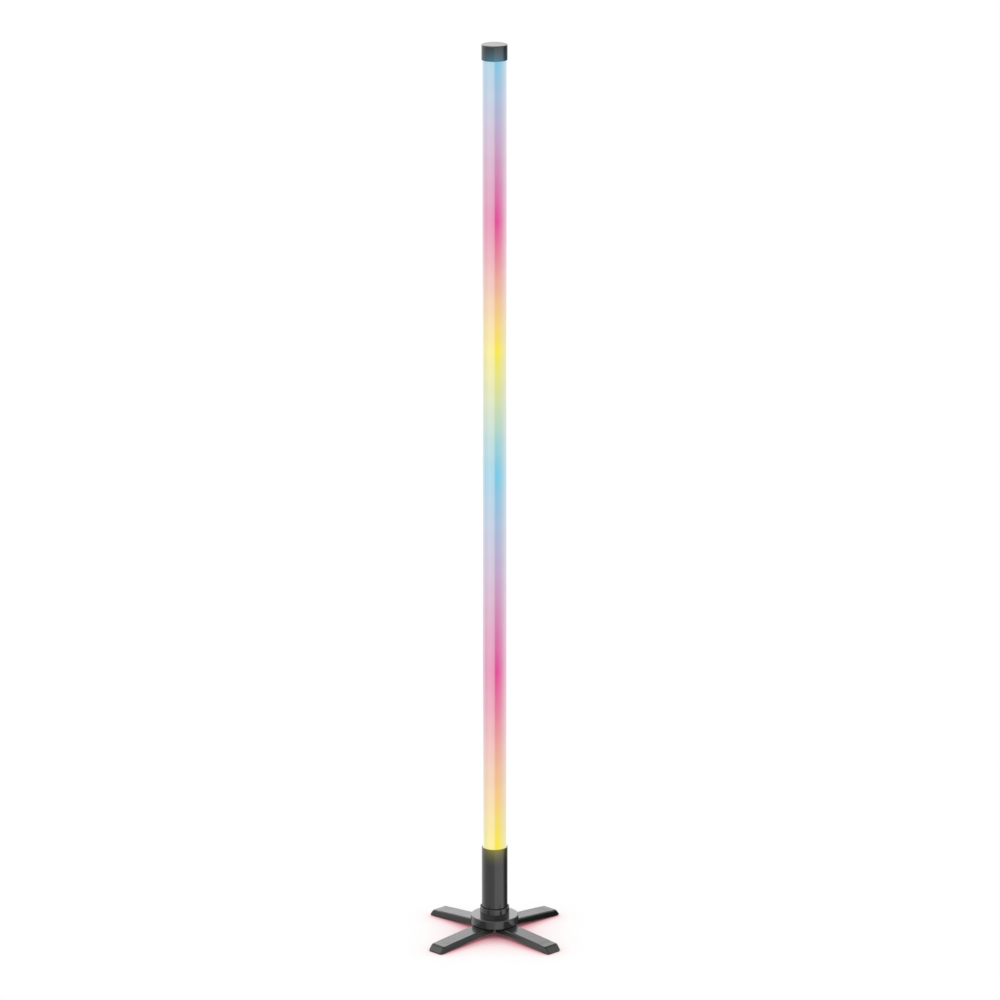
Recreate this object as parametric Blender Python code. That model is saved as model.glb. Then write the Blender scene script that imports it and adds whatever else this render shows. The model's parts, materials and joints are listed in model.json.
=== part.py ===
"""LED light tube: a lit tube on a battery handle, stood in the socket of a base with four folding legs.

Metres, +Z up. The tube's axis is the Z axis, the base stands on z = 0 and -Y is the front.
Run with: blender --background --python part.py
"""

from math import cos, pi, radians, sin, sqrt

import bmesh
import bpy
from mathutils import Matrix, Vector

# ---- Clearances -----------------------------------------------------------------------------------
GAP = 0.0003  # between faces that meet when assembled
RUNNING = 0.0001  # radial, between a pivot pin and the hole that turns on it
SLIP = 0.00015  # radial, between the handle, the liner and the collar
TUBE_FIT = 0.0002  # radial, between the tube and the parts that slide over or into its ends

# ---- Driving dimensions ---------------------------------------------------------------------------
OVERALL_HEIGHT = 1.2

TUBE_R = 0.0159
TUBE_WALL = 0.0012

CAP_WALL = 0.0007
CAP_HEIGHT = 0.0200
CAP_TOP = 0.0025
CAP_EDGE = 0.0015

HANDLE_RIM = 0.0011  # least wall around the tube
HANDLE_WALL = 0.0017
HANDLE_LENGTH = 0.0944
HANDLE_EDGE = 0.0004
END_FLANGE = 0.0018
END_SPIGOT = 0.0018
STUD_R = 0.007
STUD_CLEARANCE = 0.0006

CELL_R = 0.0092
CELL_LENGTH = 0.065
CELL_NIB_R = 0.003
CELL_EDGE = 0.0008
CRADLE_WALL = 0.0012
CRADLE_END = 0.001
CRADLE_LIP = 0.003
CONTACT_THICK = 0.0005
CONTACT_WIDTH = 0.012

BOARD_THICK = 0.0016
BOARD_WIDTH = 0.02
BOARD_CLEARANCE = 0.0035  # from the cell to the board, for the parts on the board's inner face
BOARD_MARGIN = 0.0003  # from the board's edges to the shell, beyond the usual gap
# Parts on the board's inner face: x, height above the handle's lower end, width, length, thickness.
CONTROLLER_CHIP = (-0.0045, 0.0504, 0.007, 0.007, 0.001)
BOOST_COIL = (0.004, 0.0364, 0.006, 0.006, 0.0022)
CHARGER_CHIP = (-0.004, 0.0264, 0.004, 0.005, 0.0012)
SWITCH_SIZE = 0.006
SWITCH_BODY = 0.0012
SWITCH_PLUNGER = 0.0006
SWITCH_PLUNGER_R = 0.0016

BUTTON_R = 0.004
BUTTON_FLANGE = 0.001
BUTTON_FLANGE_THICK = 0.0008
BUTTON_PROUD = 0.0005
BUTTON_TRAVEL = 0.0008
BUTTON_EDGE = 0.0005
POWER_BUTTON_UP = 0.0604  # heights here are above the handle's lower end
MODE_BUTTON_UP = 0.0444
STATUS_UP = 0.0524
STATUS_R = 0.0011
USB_UP = 0.0274
USB_LENGTH = 0.009
USB_WIDTH = 0.0033
USB_WALL = 0.00035
USB_TONGUE = 0.0007

BOSS_R = 0.0026
BOSS_LENGTH = 0.013
BOSS_Y = 0.0025
END_SCREW_R = 0.0011
END_SCREW_HEAD_R = 0.0019
END_SCREW_HEAD = 0.0009
END_SCREW_LENGTH = 0.011

PLUG_FLANGE = 0.0024
PLUG_DEPTH = 0.009
TOP_PLUG_HEIGHT = 0.0155
TOP_PLUG_ROOF = 0.002
CARRIER_WIDTH = 0.012
CARRIER_THICK = 0.0016
STRIP_WIDTH = 0.01
STRIP_THICK = 0.0006
LED_SIZE = 0.005
LED_HEIGHT = 0.0016
LED_PITCH = 1 / 30
STRIP_END_MARGIN = 0.001
LEAD_R = 0.0008
LEAD_START = 0.006  # below the cradle's top
LEAD_RISES = (0.004, 0.008, 0.011)  # of a lead's bend, of where it meets its strip and of its end

COLLAR_WALL = 0.0011
COLLAR_HEIGHT = 0.0115
COLLAR_EDGE = 0.0006
LINER_WALL = 0.0009
LINER_FLOOR = 0.001
LINER_DROP = 0.0006  # how far the liner stops below the collar's rim
HUB_R = 0.0316
HUB_WALL = 0.0022
HUB_ROOF = 0.0028
HUB_EDGE = 0.0016
SOCKET_SINK = 0.0012  # how far the socket is sunk into the hub's roof
WEIGHT_THICK = 0.0065
BASE_PLATE_THICK = 0.0016
COVER_BOSS_R = 0.0024
COVER_SCREW_R = 0.001
COVER_SCREW_HEAD_R = 0.0021
COVER_SCREW_HEAD = 0.0007
COVER_SCREW_LENGTH = 0.006

LEG_WIDTH = 0.0244
LEG_SLIT = 0.0016  # between neighbouring knuckles
LEG_LENGTH = 0.0936  # from the pivot to the lower edge of the tip
LEG_THICK = 0.0083  # at the knuckle
LEG_LIFT = 0.0069  # of the knuckle's underside above the floor
LEG_FLAT_TOP = 0.0126  # from the pivot to where the top begins to slope
LEG_FLAT_UNDER = 0.0215  # from the pivot to where the underside begins to slope
LEG_TIP_TOP = 0.0096  # height of the top at the tip
LEG_TIP_RAKE = 0.0065  # how far the tip's upper edge stands back from its lower edge
LEG_TIP_CORNER = 0.003
LEG_TOP_EDGE = 0.0015
LEG_UNDER_EDGE = 0.0008
LEG_TO_HUB = 0.0005
SOLE_THICK = 0.0012
SOLE_LENGTH = 0.0118
SOLE_INSET = 0.0010
SOLE_CORNER = 0.0022
SOLE_KEY_LENGTH = 0.007
SOLE_KEY_WIDTH = 0.014
SOLE_KEY_HEIGHT = 0.0016
PIVOT_R = 0.0025
PIVOT_HEAD_R = 0.0042
PIVOT_HEAD = 0.0017
PIVOT_HEAD_SINK = 0.0004
PIVOT_THREAD_R = 0.002
PIVOT_THREAD = 0.0066
WASHER_R = 0.006
WASHER_THICK = 0.0005
WASHER_SINK = 0.0003
DRIVE_SHARE = 0.45  # a drive recess's radius as a share of its screw head's

ROUND = 40  # sides of a large round piece
SMALL_ROUND = 20
TINY_ROUND = 12

# ---- Heights, from the floor up -------------------------------------------------------------------
LEG_TIP_UNDER_Z = SOLE_THICK + GAP
LEG_TOP_Z = LEG_LIFT + LEG_THICK
HUB_Z = LEG_TOP_Z + LEG_TO_HUB
WEIGHT_Z = HUB_Z + BASE_PLATE_THICK + GAP
HUB_ROOF_Z = WEIGHT_Z + WEIGHT_THICK + GAP
HUB_TOP_Z = HUB_ROOF_Z + HUB_ROOF
COLLAR_TOP_Z = HUB_TOP_Z + COLLAR_HEIGHT
SOCKET_Z = HUB_TOP_Z - SOCKET_SINK
LINER_Z = SOCKET_Z + GAP
HANDLE_Z = LINER_Z + LINER_FLOOR + GAP
HANDLE_TOP_Z = HANDLE_Z + HANDLE_LENGTH
SHELL_Z = HANDLE_Z + END_FLANGE + GAP
CRADLE_Z = HANDLE_Z + END_FLANGE + END_SPIGOT + GAP
CELL_Z = CRADLE_Z + CRADLE_END + GAP + CONTACT_THICK + GAP
CRADLE_TOP_Z = CELL_Z + CELL_LENGTH + GAP + CONTACT_THICK + GAP + CRADLE_END
PLUG_Z = CRADLE_TOP_Z + GAP
PLUG_SPIGOT_Z = PLUG_Z + PLUG_FLANGE
PLUG_TOP_Z = PLUG_SPIGOT_Z + PLUG_DEPTH
TUBE_Z = PLUG_SPIGOT_Z + GAP
TUBE_TOP_Z = OVERALL_HEIGHT - CAP_TOP - GAP
CAP_Z = OVERALL_HEIGHT - CAP_HEIGHT
TOP_PLUG_TOP_Z = TUBE_TOP_Z - GAP
TOP_PLUG_Z = TOP_PLUG_TOP_Z - TOP_PLUG_HEIGHT

# ---- Radii and places that follow from the driving dimensions --------------------------------------
TUBE_BORE_R = TUBE_R - TUBE_WALL
TUBE_SEAT_R = TUBE_R + TUBE_FIT
CAP_R = TUBE_SEAT_R + CAP_WALL
CRADLE_R = CELL_R + GAP + CRADLE_WALL
# The stacks run from the front of the handle's bore: to the board's outer face, and to a button's flange.
BOARD_STACK = CRADLE_R + GAP + CELL_R + BOARD_CLEARANCE + BOARD_THICK
SWITCH_STACK = BOARD_STACK + SWITCH_BODY + SWITCH_PLUNGER
BUTTON_STACK = SWITCH_STACK + BUTTON_TRAVEL + BUTTON_FLANGE_THICK + 2 * GAP
BOARD_BORE_R = (BOARD_STACK**2 + (BOARD_WIDTH / 2) ** 2 - GAP**2) / (2 * (BOARD_STACK - GAP)) + BOARD_MARGIN
BUTTON_BORE_R = (BUTTON_STACK**2 + (BUTTON_R + BUTTON_FLANGE) ** 2) / (2 * BUTTON_STACK)
HANDLE_R = max(TUBE_SEAT_R + HANDLE_RIM, BOARD_BORE_R + HANDLE_WALL, BUTTON_BORE_R + HANDLE_WALL)
SHELL_BORE_R = HANDLE_R - HANDLE_WALL
BOSS_X = sqrt(SHELL_BORE_R**2 - BOSS_Y**2) + GAP - BOSS_R
LINER_BORE_R = HANDLE_R + SLIP
LINER_R = LINER_BORE_R + LINER_WALL
SOCKET_R = LINER_R + SLIP
COLLAR_R = SOCKET_R + COLLAR_WALL
STUD_HOLE_R = STUD_R + STUD_CLEARANCE
HUB_INSIDE_R = HUB_R - HUB_WALL - GAP
COVER_SCREW_RADIUS = HUB_R - HUB_WALL - 2 * COVER_BOSS_R
PIVOT_OFFSET = (LEG_WIDTH + LEG_SLIT) / 2
CELL_Y = CRADLE_R + GAP - SHELL_BORE_R
BOARD_Y = CELL_Y + CELL_R + BOARD_CLEARANCE
BOARD_OUT_Y = BOARD_Y + BOARD_THICK
SWITCH_TOP_Y = BOARD_OUT_Y + SWITCH_BODY + SWITCH_PLUNGER

# ---- Finishes: colour, roughness, metallic ----------------------------------------------------------
BLACK_PLASTIC = ((0.035, 0.036, 0.038), 0.32, 0.0)
BLACK_RUBBER = ((0.02, 0.02, 0.02), 0.8, 0.0)
FROSTED = ((0.92, 0.72, 0.88), 0.25, 0.0)
WHITE_PLASTIC = ((0.85, 0.85, 0.83), 0.45, 0.0)
ALUMINIUM = ((0.75, 0.76, 0.78), 0.35, 1.0)
STEEL = ((0.55, 0.56, 0.58), 0.35, 1.0)
BLACK_STEEL = ((0.04, 0.04, 0.045), 0.4, 1.0)
CAST_WEIGHT = ((0.16, 0.16, 0.17), 0.6, 1.0)
BRASS = ((0.85, 0.66, 0.32), 0.3, 1.0)
GREEN_BOARD = ((0.03, 0.19, 0.08), 0.45, 0.0)
CELL_SLEEVE = ((0.1, 0.22, 0.45), 0.35, 0.0)
RED_INSULATION = ((0.6, 0.03, 0.02), 0.45, 0.0)
BLACK_INSULATION = ((0.02, 0.02, 0.02), 0.45, 0.0)
CLEAR_PLASTIC = ((0.8, 0.85, 0.9), 0.1, 0.0)


# ---- Scene and mesh helpers -------------------------------------------------------------------------
def clear_scene():
    for obj in list(bpy.data.objects):
        bpy.data.objects.remove(obj, do_unlink=True)


def add_object(name, bm, finish=None, parent=None, matrix=None):
    """Links a finished bmesh as an object with a material of its own."""
    bmesh.ops.recalc_face_normals(bm, faces=bm.faces)
    mesh = bpy.data.meshes.new(name)
    bm.to_mesh(mesh)
    bm.free()
    return add_mesh(name, mesh, finish, parent, matrix)


def add_mesh(name, mesh, finish=None, parent=None, matrix=None):
    obj = bpy.data.objects.new(name, mesh)
    bpy.context.scene.collection.objects.link(obj)
    if matrix:
        obj.matrix_world = matrix
    if parent:
        attach(obj, parent)
    if finish:
        dress(obj, finish)
    return obj


def attach(obj, parent):
    """Parents the object and leaves it where it is. No parent's own parent is moved from the origin."""
    obj.parent = parent
    obj.matrix_parent_inverse = parent.matrix_basis.inverted()


def dress(obj, finish):
    """Gives the object its own Principled material and smooth shading that keeps its edges."""
    colour, roughness, metallic = finish
    material = bpy.data.materials.new(obj.name)
    material.use_nodes = True
    shader = material.node_tree.nodes["Principled BSDF"]
    shader.inputs["Base Color"].default_value = (*colour, 1)
    shader.inputs["Roughness"].default_value = roughness
    shader.inputs["Metallic"].default_value = metallic
    obj.data.materials.clear()
    obj.data.materials.append(material)
    if obj.type == "MESH":
        obj.data.shade_smooth()
        obj.data.set_sharp_from_angle(angle=radians(35))


def add_empty(name, location):
    obj = bpy.data.objects.new(name, None)
    obj.location = location
    bpy.context.scene.collection.objects.link(obj)
    return obj


def combine(target, helper, operation):
    """Applies one Boolean of the helper to the target, then removes the helper."""
    modifier = target.modifiers.new(operation.lower(), "BOOLEAN")
    modifier.operation = operation
    modifier.solver = "EXACT"
    modifier.object = helper
    graph = bpy.context.evaluated_depsgraph_get()
    result = bpy.data.meshes.new_from_object(target.evaluated_get(graph))
    target.modifiers.clear()
    before = target.data
    target.data = result
    bpy.data.meshes.remove(before)
    bpy.data.objects.remove(helper, do_unlink=True)


def gathered(shapes):
    """Separate closed shapes in one bmesh."""
    whole = bmesh.new()
    for shape in shapes:
        mesh = bpy.data.meshes.new("shape")
        shape.to_mesh(mesh)
        shape.free()
        whole.from_mesh(mesh)
        bpy.data.meshes.remove(mesh)
    return whole


def cut(target, *shapes):
    """Removes shapes that don't touch each other."""
    combine(target, add_object("cutter", gathered(shapes)), "DIFFERENCE")


def join(target, *shapes):
    """Adds shapes that don't touch each other."""
    combine(target, add_object("addition", gathered(shapes)), "UNION")


def arc(centre, radius, start, end, steps):
    """Points of an arc in a plane, with angles in degrees, both ends included."""
    angles = [radians(start + (end - start) * i / steps) for i in range(steps + 1)]
    return [(centre[0] + radius * cos(a), centre[1] + radius * sin(a)) for a in angles]


def turned(profile, sides=ROUND):
    """A closed (radius, z) outline spun about Z. An outline that touches the axis starts and ends on it."""
    bm = bmesh.new()
    verts = [bm.verts.new((r, 0, z)) for r, z in profile]
    edges = [bm.edges.new(pair) for pair in zip(verts, verts[1:])]
    if profile[0][0] > 0:
        edges.append(bm.edges.new((verts[-1], verts[0])))
    bmesh.ops.spin(
        bm, geom=verts + edges, cent=(0, 0, 0), axis=(0, 0, 1), angle=2 * pi, steps=sides, use_merge=True
    )
    bmesh.ops.remove_doubles(bm, verts=bm.verts, dist=1e-6)
    return bm


def box(low, high):
    bm = bmesh.new()
    bmesh.ops.create_cube(bm, size=1)
    size = Vector(high) - Vector(low)
    middle = (Vector(high) + Vector(low)) / 2
    bmesh.ops.transform(bm, matrix=Matrix.Translation(middle) @ Matrix.Diagonal((*size, 1)), verts=bm.verts)
    return bm


def rod(radius, low, high, at=(0, 0), sides=SMALL_ROUND):
    """A plain cylinder along Z, from low to high, centred at the (x, y) given."""
    bm = bmesh.new()
    bmesh.ops.create_cone(
        bm, cap_ends=True, segments=sides, radius1=radius, radius2=radius, depth=high - low
    )
    bmesh.ops.translate(bm, vec=(*at, (low + high) / 2), verts=bm.verts)
    return bm


def bore(steps, at=(0, 0), sides=TINY_ROUND):
    """A hole's shape along Z: (radius, upper end) steps that follow on from the first (radius, lower end)."""
    (radius, low), *rest = steps
    profile = [(0, low)]
    for next_radius, high in rest:
        profile += [(radius, low), (radius, high)]
        radius, low = next_radius, high
    profile.append((0, low))
    bm = turned(profile, sides)
    bmesh.ops.translate(bm, vec=(*at, 0), verts=bm.verts)
    return bm


def facing_back(bm, height):
    """Turns a piece made along Z so that it points along +Y, at the height given."""
    turn = Matrix.Translation((0, 0, height)) @ Matrix.Rotation(radians(-90), 4, "X")
    bmesh.ops.transform(bm, matrix=turn, verts=bm.verts)
    return bm


def prism(outline, low, high):
    """An (x, y) outline extruded along Z."""
    bm = bmesh.new()
    face = bm.faces.new([bm.verts.new((x, y, low)) for x, y in outline])
    raised = bmesh.ops.extrude_face_region(bm, geom=[face])["geom"]
    verts = [item for item in raised if isinstance(item, bmesh.types.BMVert)]
    bmesh.ops.translate(bm, vec=(0, 0, high - low), verts=verts)
    return bm


def rounded_rectangle(x0, x1, half_width, corner, steps=3):
    """An (x, y) outline, symmetric about the X axis."""
    y = half_width - corner
    left, right = x0 + corner, x1 - corner
    return (
        arc((right, y), corner, 0, 90, steps)
        + arc((left, y), corner, 90, 180, steps)
        + arc((left, -y), corner, 180, 270, steps)
        + arc((right, -y), corner, 270, 360, steps)
    )


def smooth_route(points, steps=4):
    """A Catmull-Rom curve through the points, sampled."""
    ends = [points[0] * 2 - points[1], *points, points[-1] * 2 - points[-2]]
    route = []
    for a, b, c, d in zip(ends, ends[1:], ends[2:], ends[3:]):
        squared = a * 2 - b * 5 + c * 4 - d
        cubed = b * 3 - a - c * 3 + d
        for i in range(steps):
            t = i / steps
            route.append((b * 2 + (c - a) * t + squared * t**2 + cubed * t**3) / 2)
    return [*route, points[-1]]


# ---- Base -------------------------------------------------------------------------------------------
def cover_screw_places():
    return [(COVER_SCREW_RADIUS * cos(a), COVER_SCREW_RADIUS * sin(a)) for a in (0, pi / 2, pi, -pi / 2)]


def pivot_places():
    return [(sx * PIVOT_OFFSET, sy * PIVOT_OFFSET) for sx in (-1, 1) for sy in (-1, 1)]


def make_hub_cover(base):
    """The disc and its collar in one moulding, open below, with a floor under the socket."""
    profile = [
        (STUD_HOLE_R, HUB_ROOF_Z),
        (HUB_R - HUB_WALL, HUB_ROOF_Z),
        (HUB_R - HUB_WALL, HUB_Z),
        (HUB_R - GAP, HUB_Z),
        (HUB_R, HUB_Z + GAP),
        *arc((HUB_R - HUB_EDGE, HUB_TOP_Z - HUB_EDGE), HUB_EDGE, 0, 90, 4),
        (COLLAR_R, HUB_TOP_Z),
        (COLLAR_R, COLLAR_TOP_Z - COLLAR_EDGE),
        (COLLAR_R - COLLAR_EDGE, COLLAR_TOP_Z),
        (SOCKET_R, COLLAR_TOP_Z),
        (SOCKET_R, SOCKET_Z),
        (STUD_HOLE_R, SOCKET_Z),
    ]
    cover = add_object("hub_cover", turned(profile), BLACK_PLASTIC, base)
    foot, screw_top = WEIGHT_Z, HUB_Z + GAP + COVER_SCREW_HEAD + COVER_SCREW_LENGTH
    places = cover_screw_places()
    join(cover, *(rod(COVER_BOSS_R, foot, HUB_ROOF_Z + GAP, place) for place in places))
    hole_r = COVER_SCREW_R + GAP
    cut(cover, *(rod(hole_r, foot - GAP, screw_top + GAP, place, TINY_ROUND) for place in places))
    dress(cover, BLACK_PLASTIC)


def make_hub_weight(base):
    profile = [
        (STUD_HOLE_R, WEIGHT_Z),
        (HUB_INSIDE_R, WEIGHT_Z),
        (HUB_INSIDE_R, WEIGHT_Z + WEIGHT_THICK),
        (STUD_HOLE_R, WEIGHT_Z + WEIGHT_THICK),
    ]
    weight = add_object("hub_weight", turned(profile), CAST_WEIGHT, base)
    low, high = WEIGHT_Z - GAP, WEIGHT_Z + WEIGHT_THICK + GAP
    cut(
        weight,
        *(rod(COVER_BOSS_R + GAP, low, high, place) for place in cover_screw_places()),
        *(rod(PIVOT_THREAD_R + GAP, low, high, place, TINY_ROUND) for place in pivot_places()),
    )
    dress(weight, CAST_WEIGHT)


def make_base_plate(base):
    plate = add_object(
        "hub_base_plate", rod(HUB_INSIDE_R, HUB_Z, HUB_Z + BASE_PLATE_THICK, sides=ROUND), BLACK_STEEL, base
    )
    low, high = HUB_Z - GAP, HUB_Z + BASE_PLATE_THICK + GAP
    head_hole, shank_hole = COVER_SCREW_HEAD_R + GAP, COVER_SCREW_R + GAP
    stepped = ((head_hole, low), (shank_hole, HUB_Z + COVER_SCREW_HEAD + 2 * GAP), (0, high))
    cut(
        plate,
        *(bore(stepped, place) for place in cover_screw_places()),
        *(rod(PIVOT_THREAD_R + GAP, low, high, place, TINY_ROUND) for place in pivot_places()),
    )
    dress(plate, BLACK_STEEL)


def screw_mesh(head_r, head, shank_r, shank):
    """A screw that points up from z = 0, with a shallow drive recess in its head."""
    recess_r = head_r * DRIVE_SHARE
    return turned(
        [
            (0, head / 2),
            (recess_r, head / 2),
            (recess_r, 0),
            (head_r, 0),
            (head_r, head),
            (shank_r, head),
            (shank_r, head + shank),
            (0, head + shank),
        ],
        TINY_ROUND,
    )


def make_cover_screws(base):
    for number, (x, y) in enumerate(cover_screw_places(), 1):
        bm = screw_mesh(COVER_SCREW_HEAD_R, COVER_SCREW_HEAD, COVER_SCREW_R, COVER_SCREW_LENGTH)
        place = Matrix.Translation((x, y, HUB_Z + GAP))
        add_object(f"cover_screw_{number}", bm, STEEL, base, place)


def make_pivot_screw(name, place, base):
    """A shoulder screw: the leg turns on its wide shank, and its thread holds in the weight."""
    head_z = LEG_LIFT + PIVOT_HEAD_SINK
    shoulder_z = head_z + PIVOT_HEAD
    thread_z = HUB_Z - GAP
    recess_r = PIVOT_HEAD_R * DRIVE_SHARE
    profile = [
        (0, head_z + PIVOT_HEAD / 2),
        (recess_r, head_z + PIVOT_HEAD / 2),
        (recess_r, head_z),
        (PIVOT_HEAD_R, head_z),
        (PIVOT_HEAD_R, shoulder_z),
        (PIVOT_R, shoulder_z),
        (PIVOT_R, thread_z),
        (PIVOT_THREAD_R, thread_z),
        (PIVOT_THREAD_R, thread_z + PIVOT_THREAD),
        (0, thread_z + PIVOT_THREAD),
    ]
    add_object(name, turned(profile, SMALL_ROUND), STEEL, base, Matrix.Translation((*place, 0)))


def make_pivot_washer(name, place, base):
    low = LEG_TOP_Z - WASHER_SINK
    hole = PIVOT_R + GAP
    profile = [(hole, low), (WASHER_R, low), (WASHER_R, low + WASHER_THICK), (hole, low + WASHER_THICK)]
    add_object(name, turned(profile, SMALL_ROUND), BRASS, base, Matrix.Translation((*place, 0)))


# ---- Legs -------------------------------------------------------------------------------------------
def between(value, low, high):
    """How far the value lies from low to high, held to 0..1."""
    return min(1, max(0, (value - low) / (high - low)))


def leg_top_z(along):
    drop = LEG_TOP_Z - LEG_TIP_TOP
    return LEG_TOP_Z - drop * between(along, LEG_FLAT_TOP, LEG_LENGTH - LEG_TIP_RAKE)


def leg_under_z(along):
    drop = LEG_LIFT - LEG_TIP_UNDER_Z
    return LEG_LIFT - drop * between(along, LEG_FLAT_UNDER, LEG_LENGTH - SOLE_INSET - SOLE_LENGTH)


def leg_half_outline():
    """(point, outward direction) pairs in plan, from the back of the knuckle round one side to the tip."""
    half = LEG_WIDTH / 2
    points = []
    for degrees in range(180, 89, -15):
        out = Vector((cos(radians(degrees)), sin(radians(degrees))))
        points.append((out * half, out))
    sole_start = LEG_LENGTH - SOLE_INSET - SOLE_LENGTH
    for along in (LEG_FLAT_TOP, LEG_FLAT_UNDER, (LEG_FLAT_UNDER + sole_start) / 2, sole_start):
        points.append((Vector((along, half)), Vector((0, 1))))
    corner = Vector((LEG_LENGTH - LEG_TIP_CORNER, half - LEG_TIP_CORNER))
    for degrees in (90, 60, 30, 0):
        out = Vector((cos(radians(degrees)), sin(radians(degrees))))
        points.append((corner + out * LEG_TIP_CORNER, out))
    return points


def leg_layers():
    """(inset, share of the height, offset in z) for each ring, from the underside to the top."""
    layers = []
    for degrees in (90, 45, 0):
        inset = LEG_UNDER_EDGE * (1 - cos(radians(degrees)))
        layers.append((inset, 0, LEG_UNDER_EDGE * (1 - sin(radians(degrees)))))
    for degrees in (0, 30, 60, 90):
        inset = LEG_TOP_EDGE * (1 - cos(radians(degrees)))
        layers.append((inset, 1, LEG_TOP_EDGE * (sin(radians(degrees)) - 1)))
    return layers


def leg_mesh():
    """One leg along +X from its pivot at the origin, in height as it stands."""
    half = leg_half_outline()
    mirrored = [(Vector((p.x, -p.y)), Vector((n.x, -n.y))) for p, n in reversed(half[1:])]
    outline = half + mirrored
    count = len(outline)
    rake_start, rake_end = LEG_LENGTH - 2 * SOLE_LENGTH, LEG_LENGTH - LEG_TIP_CORNER
    bm = bmesh.new()
    rings = []
    for inset, share, offset in leg_layers():
        ring = []
        for point, out in outline:
            plan = point - out * inset
            height = leg_top_z(plan.x) if share else leg_under_z(plan.x)
            height += offset
            rise = (height - LEG_TIP_UNDER_Z) / (LEG_TIP_TOP - LEG_TIP_UNDER_Z)
            rake = LEG_TIP_RAKE * rise * between(plan.x, rake_start, rake_end)
            ring.append(bm.verts.new((plan.x - rake, plan.y, height)))
        rings.append(ring)
    for lower, upper in zip(rings, rings[1:]):
        for i in range(count):
            j = (i + 1) % count
            bm.faces.new((lower[i], lower[j], upper[j], upper[i]))
    for ring in (rings[0], rings[-1]):
        bm.faces.new((ring[0], ring[1], ring[-1]))
        for i in range(1, len(half) - 1):
            bm.faces.new((ring[i], ring[i + 1], ring[-i - 1], ring[-i]))
    bmesh.ops.triangulate(bm, faces=bm.faces)
    leg = add_object("leg_blank", bm)
    pivot_hole = (
        (PIVOT_HEAD_R + GAP, 0),
        (PIVOT_R + RUNNING, LEG_LIFT + PIVOT_HEAD_SINK + PIVOT_HEAD + GAP),
        (WASHER_R + GAP, LEG_TOP_Z - WASHER_SINK - GAP),
        (0, LEG_TOP_Z + GAP),
    )
    key_pocket = prism(sole_key_outline(GAP), 0, SOLE_THICK + SOLE_KEY_HEIGHT + GAP)
    cut(leg, bore(pivot_hole, sides=SMALL_ROUND), key_pocket)
    mesh = leg.data
    bpy.data.objects.remove(leg, do_unlink=True)
    return mesh


def sole_span():
    tip = LEG_LENGTH - SOLE_INSET
    return tip - SOLE_LENGTH, tip


def sole_key_outline(extra):
    start, end = sole_span()
    middle = (start + end) / 2
    reach = SOLE_KEY_LENGTH / 2 + extra
    return rounded_rectangle(middle - reach, middle + reach, SOLE_KEY_WIDTH / 2 + extra, SOLE_KEY_LENGTH / 5)


def sole_mesh():
    """The rubber sole under one leg's tip, with the key that locates it in the leg."""
    start, end = sole_span()
    outline = rounded_rectangle(start, end, LEG_WIDTH / 2 - SOLE_INSET, SOLE_CORNER)
    sole = add_object("sole_blank", prism(outline, 0, SOLE_THICK))
    join(sole, prism(sole_key_outline(0), SOLE_THICK / 2, SOLE_THICK + SOLE_KEY_HEIGHT))
    mesh = sole.data
    bpy.data.objects.remove(sole, do_unlink=True)
    return mesh


def make_legs(base):
    """Four legs on the diagonals, each with its origin on its pivot."""
    leg_blank = leg_mesh()
    sole_blank = sole_mesh()
    for name, side, depth in (
        ("front_left", -1, -1),
        ("front_right", 1, -1),
        ("rear_left", -1, 1),
        ("rear_right", 1, 1),
    ):
        place = (side * PIVOT_OFFSET, depth * PIVOT_OFFSET)
        azimuth = Vector((side, depth)).angle_signed(Vector((1, 0)))
        stand = Matrix.Translation((*place, 0)) @ Matrix.Rotation(azimuth, 4, "Z")
        leg = add_mesh(f"leg_{name}", leg_blank.copy(), BLACK_PLASTIC, base, stand)
        add_mesh(f"foot_sole_{name}", sole_blank.copy(), BLACK_RUBBER, leg, stand)
        make_pivot_screw(f"pivot_screw_{name}", place, base)
        make_pivot_washer(f"pivot_washer_{name}", place, base)
    bpy.data.meshes.remove(leg_blank)
    bpy.data.meshes.remove(sole_blank)


# ---- Socket liner -----------------------------------------------------------------------------------
def make_socket_liner(base):
    """The sleeve that grips the handle and turns with it in the collar."""
    top = COLLAR_TOP_Z - LINER_DROP
    profile = [
        (STUD_HOLE_R, LINER_Z),
        (LINER_R, LINER_Z),
        (LINER_R, top),
        (LINER_BORE_R, top),
        (LINER_BORE_R, LINER_Z + LINER_FLOOR),
        (STUD_HOLE_R, LINER_Z + LINER_FLOOR),
    ]
    return add_object("socket_liner", turned(profile), BLACK_RUBBER, base)


# ---- Handle -----------------------------------------------------------------------------------------
def usb_outline(length, width):
    corner = width / 2
    return rounded_rectangle(-length / 2, length / 2, corner, corner * 0.98, steps=4)


def usb_prism(length, width, low, high):
    """A rounded slot that points along +Y, its long side along Z, between two distances from the axis."""
    bm = prism(usb_outline(length, width), low, high)
    bmesh.ops.rotate(bm, matrix=Matrix.Rotation(radians(90), 3, "Z"), verts=bm.verts)
    return facing_back(bm, HANDLE_Z + USB_UP)


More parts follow.
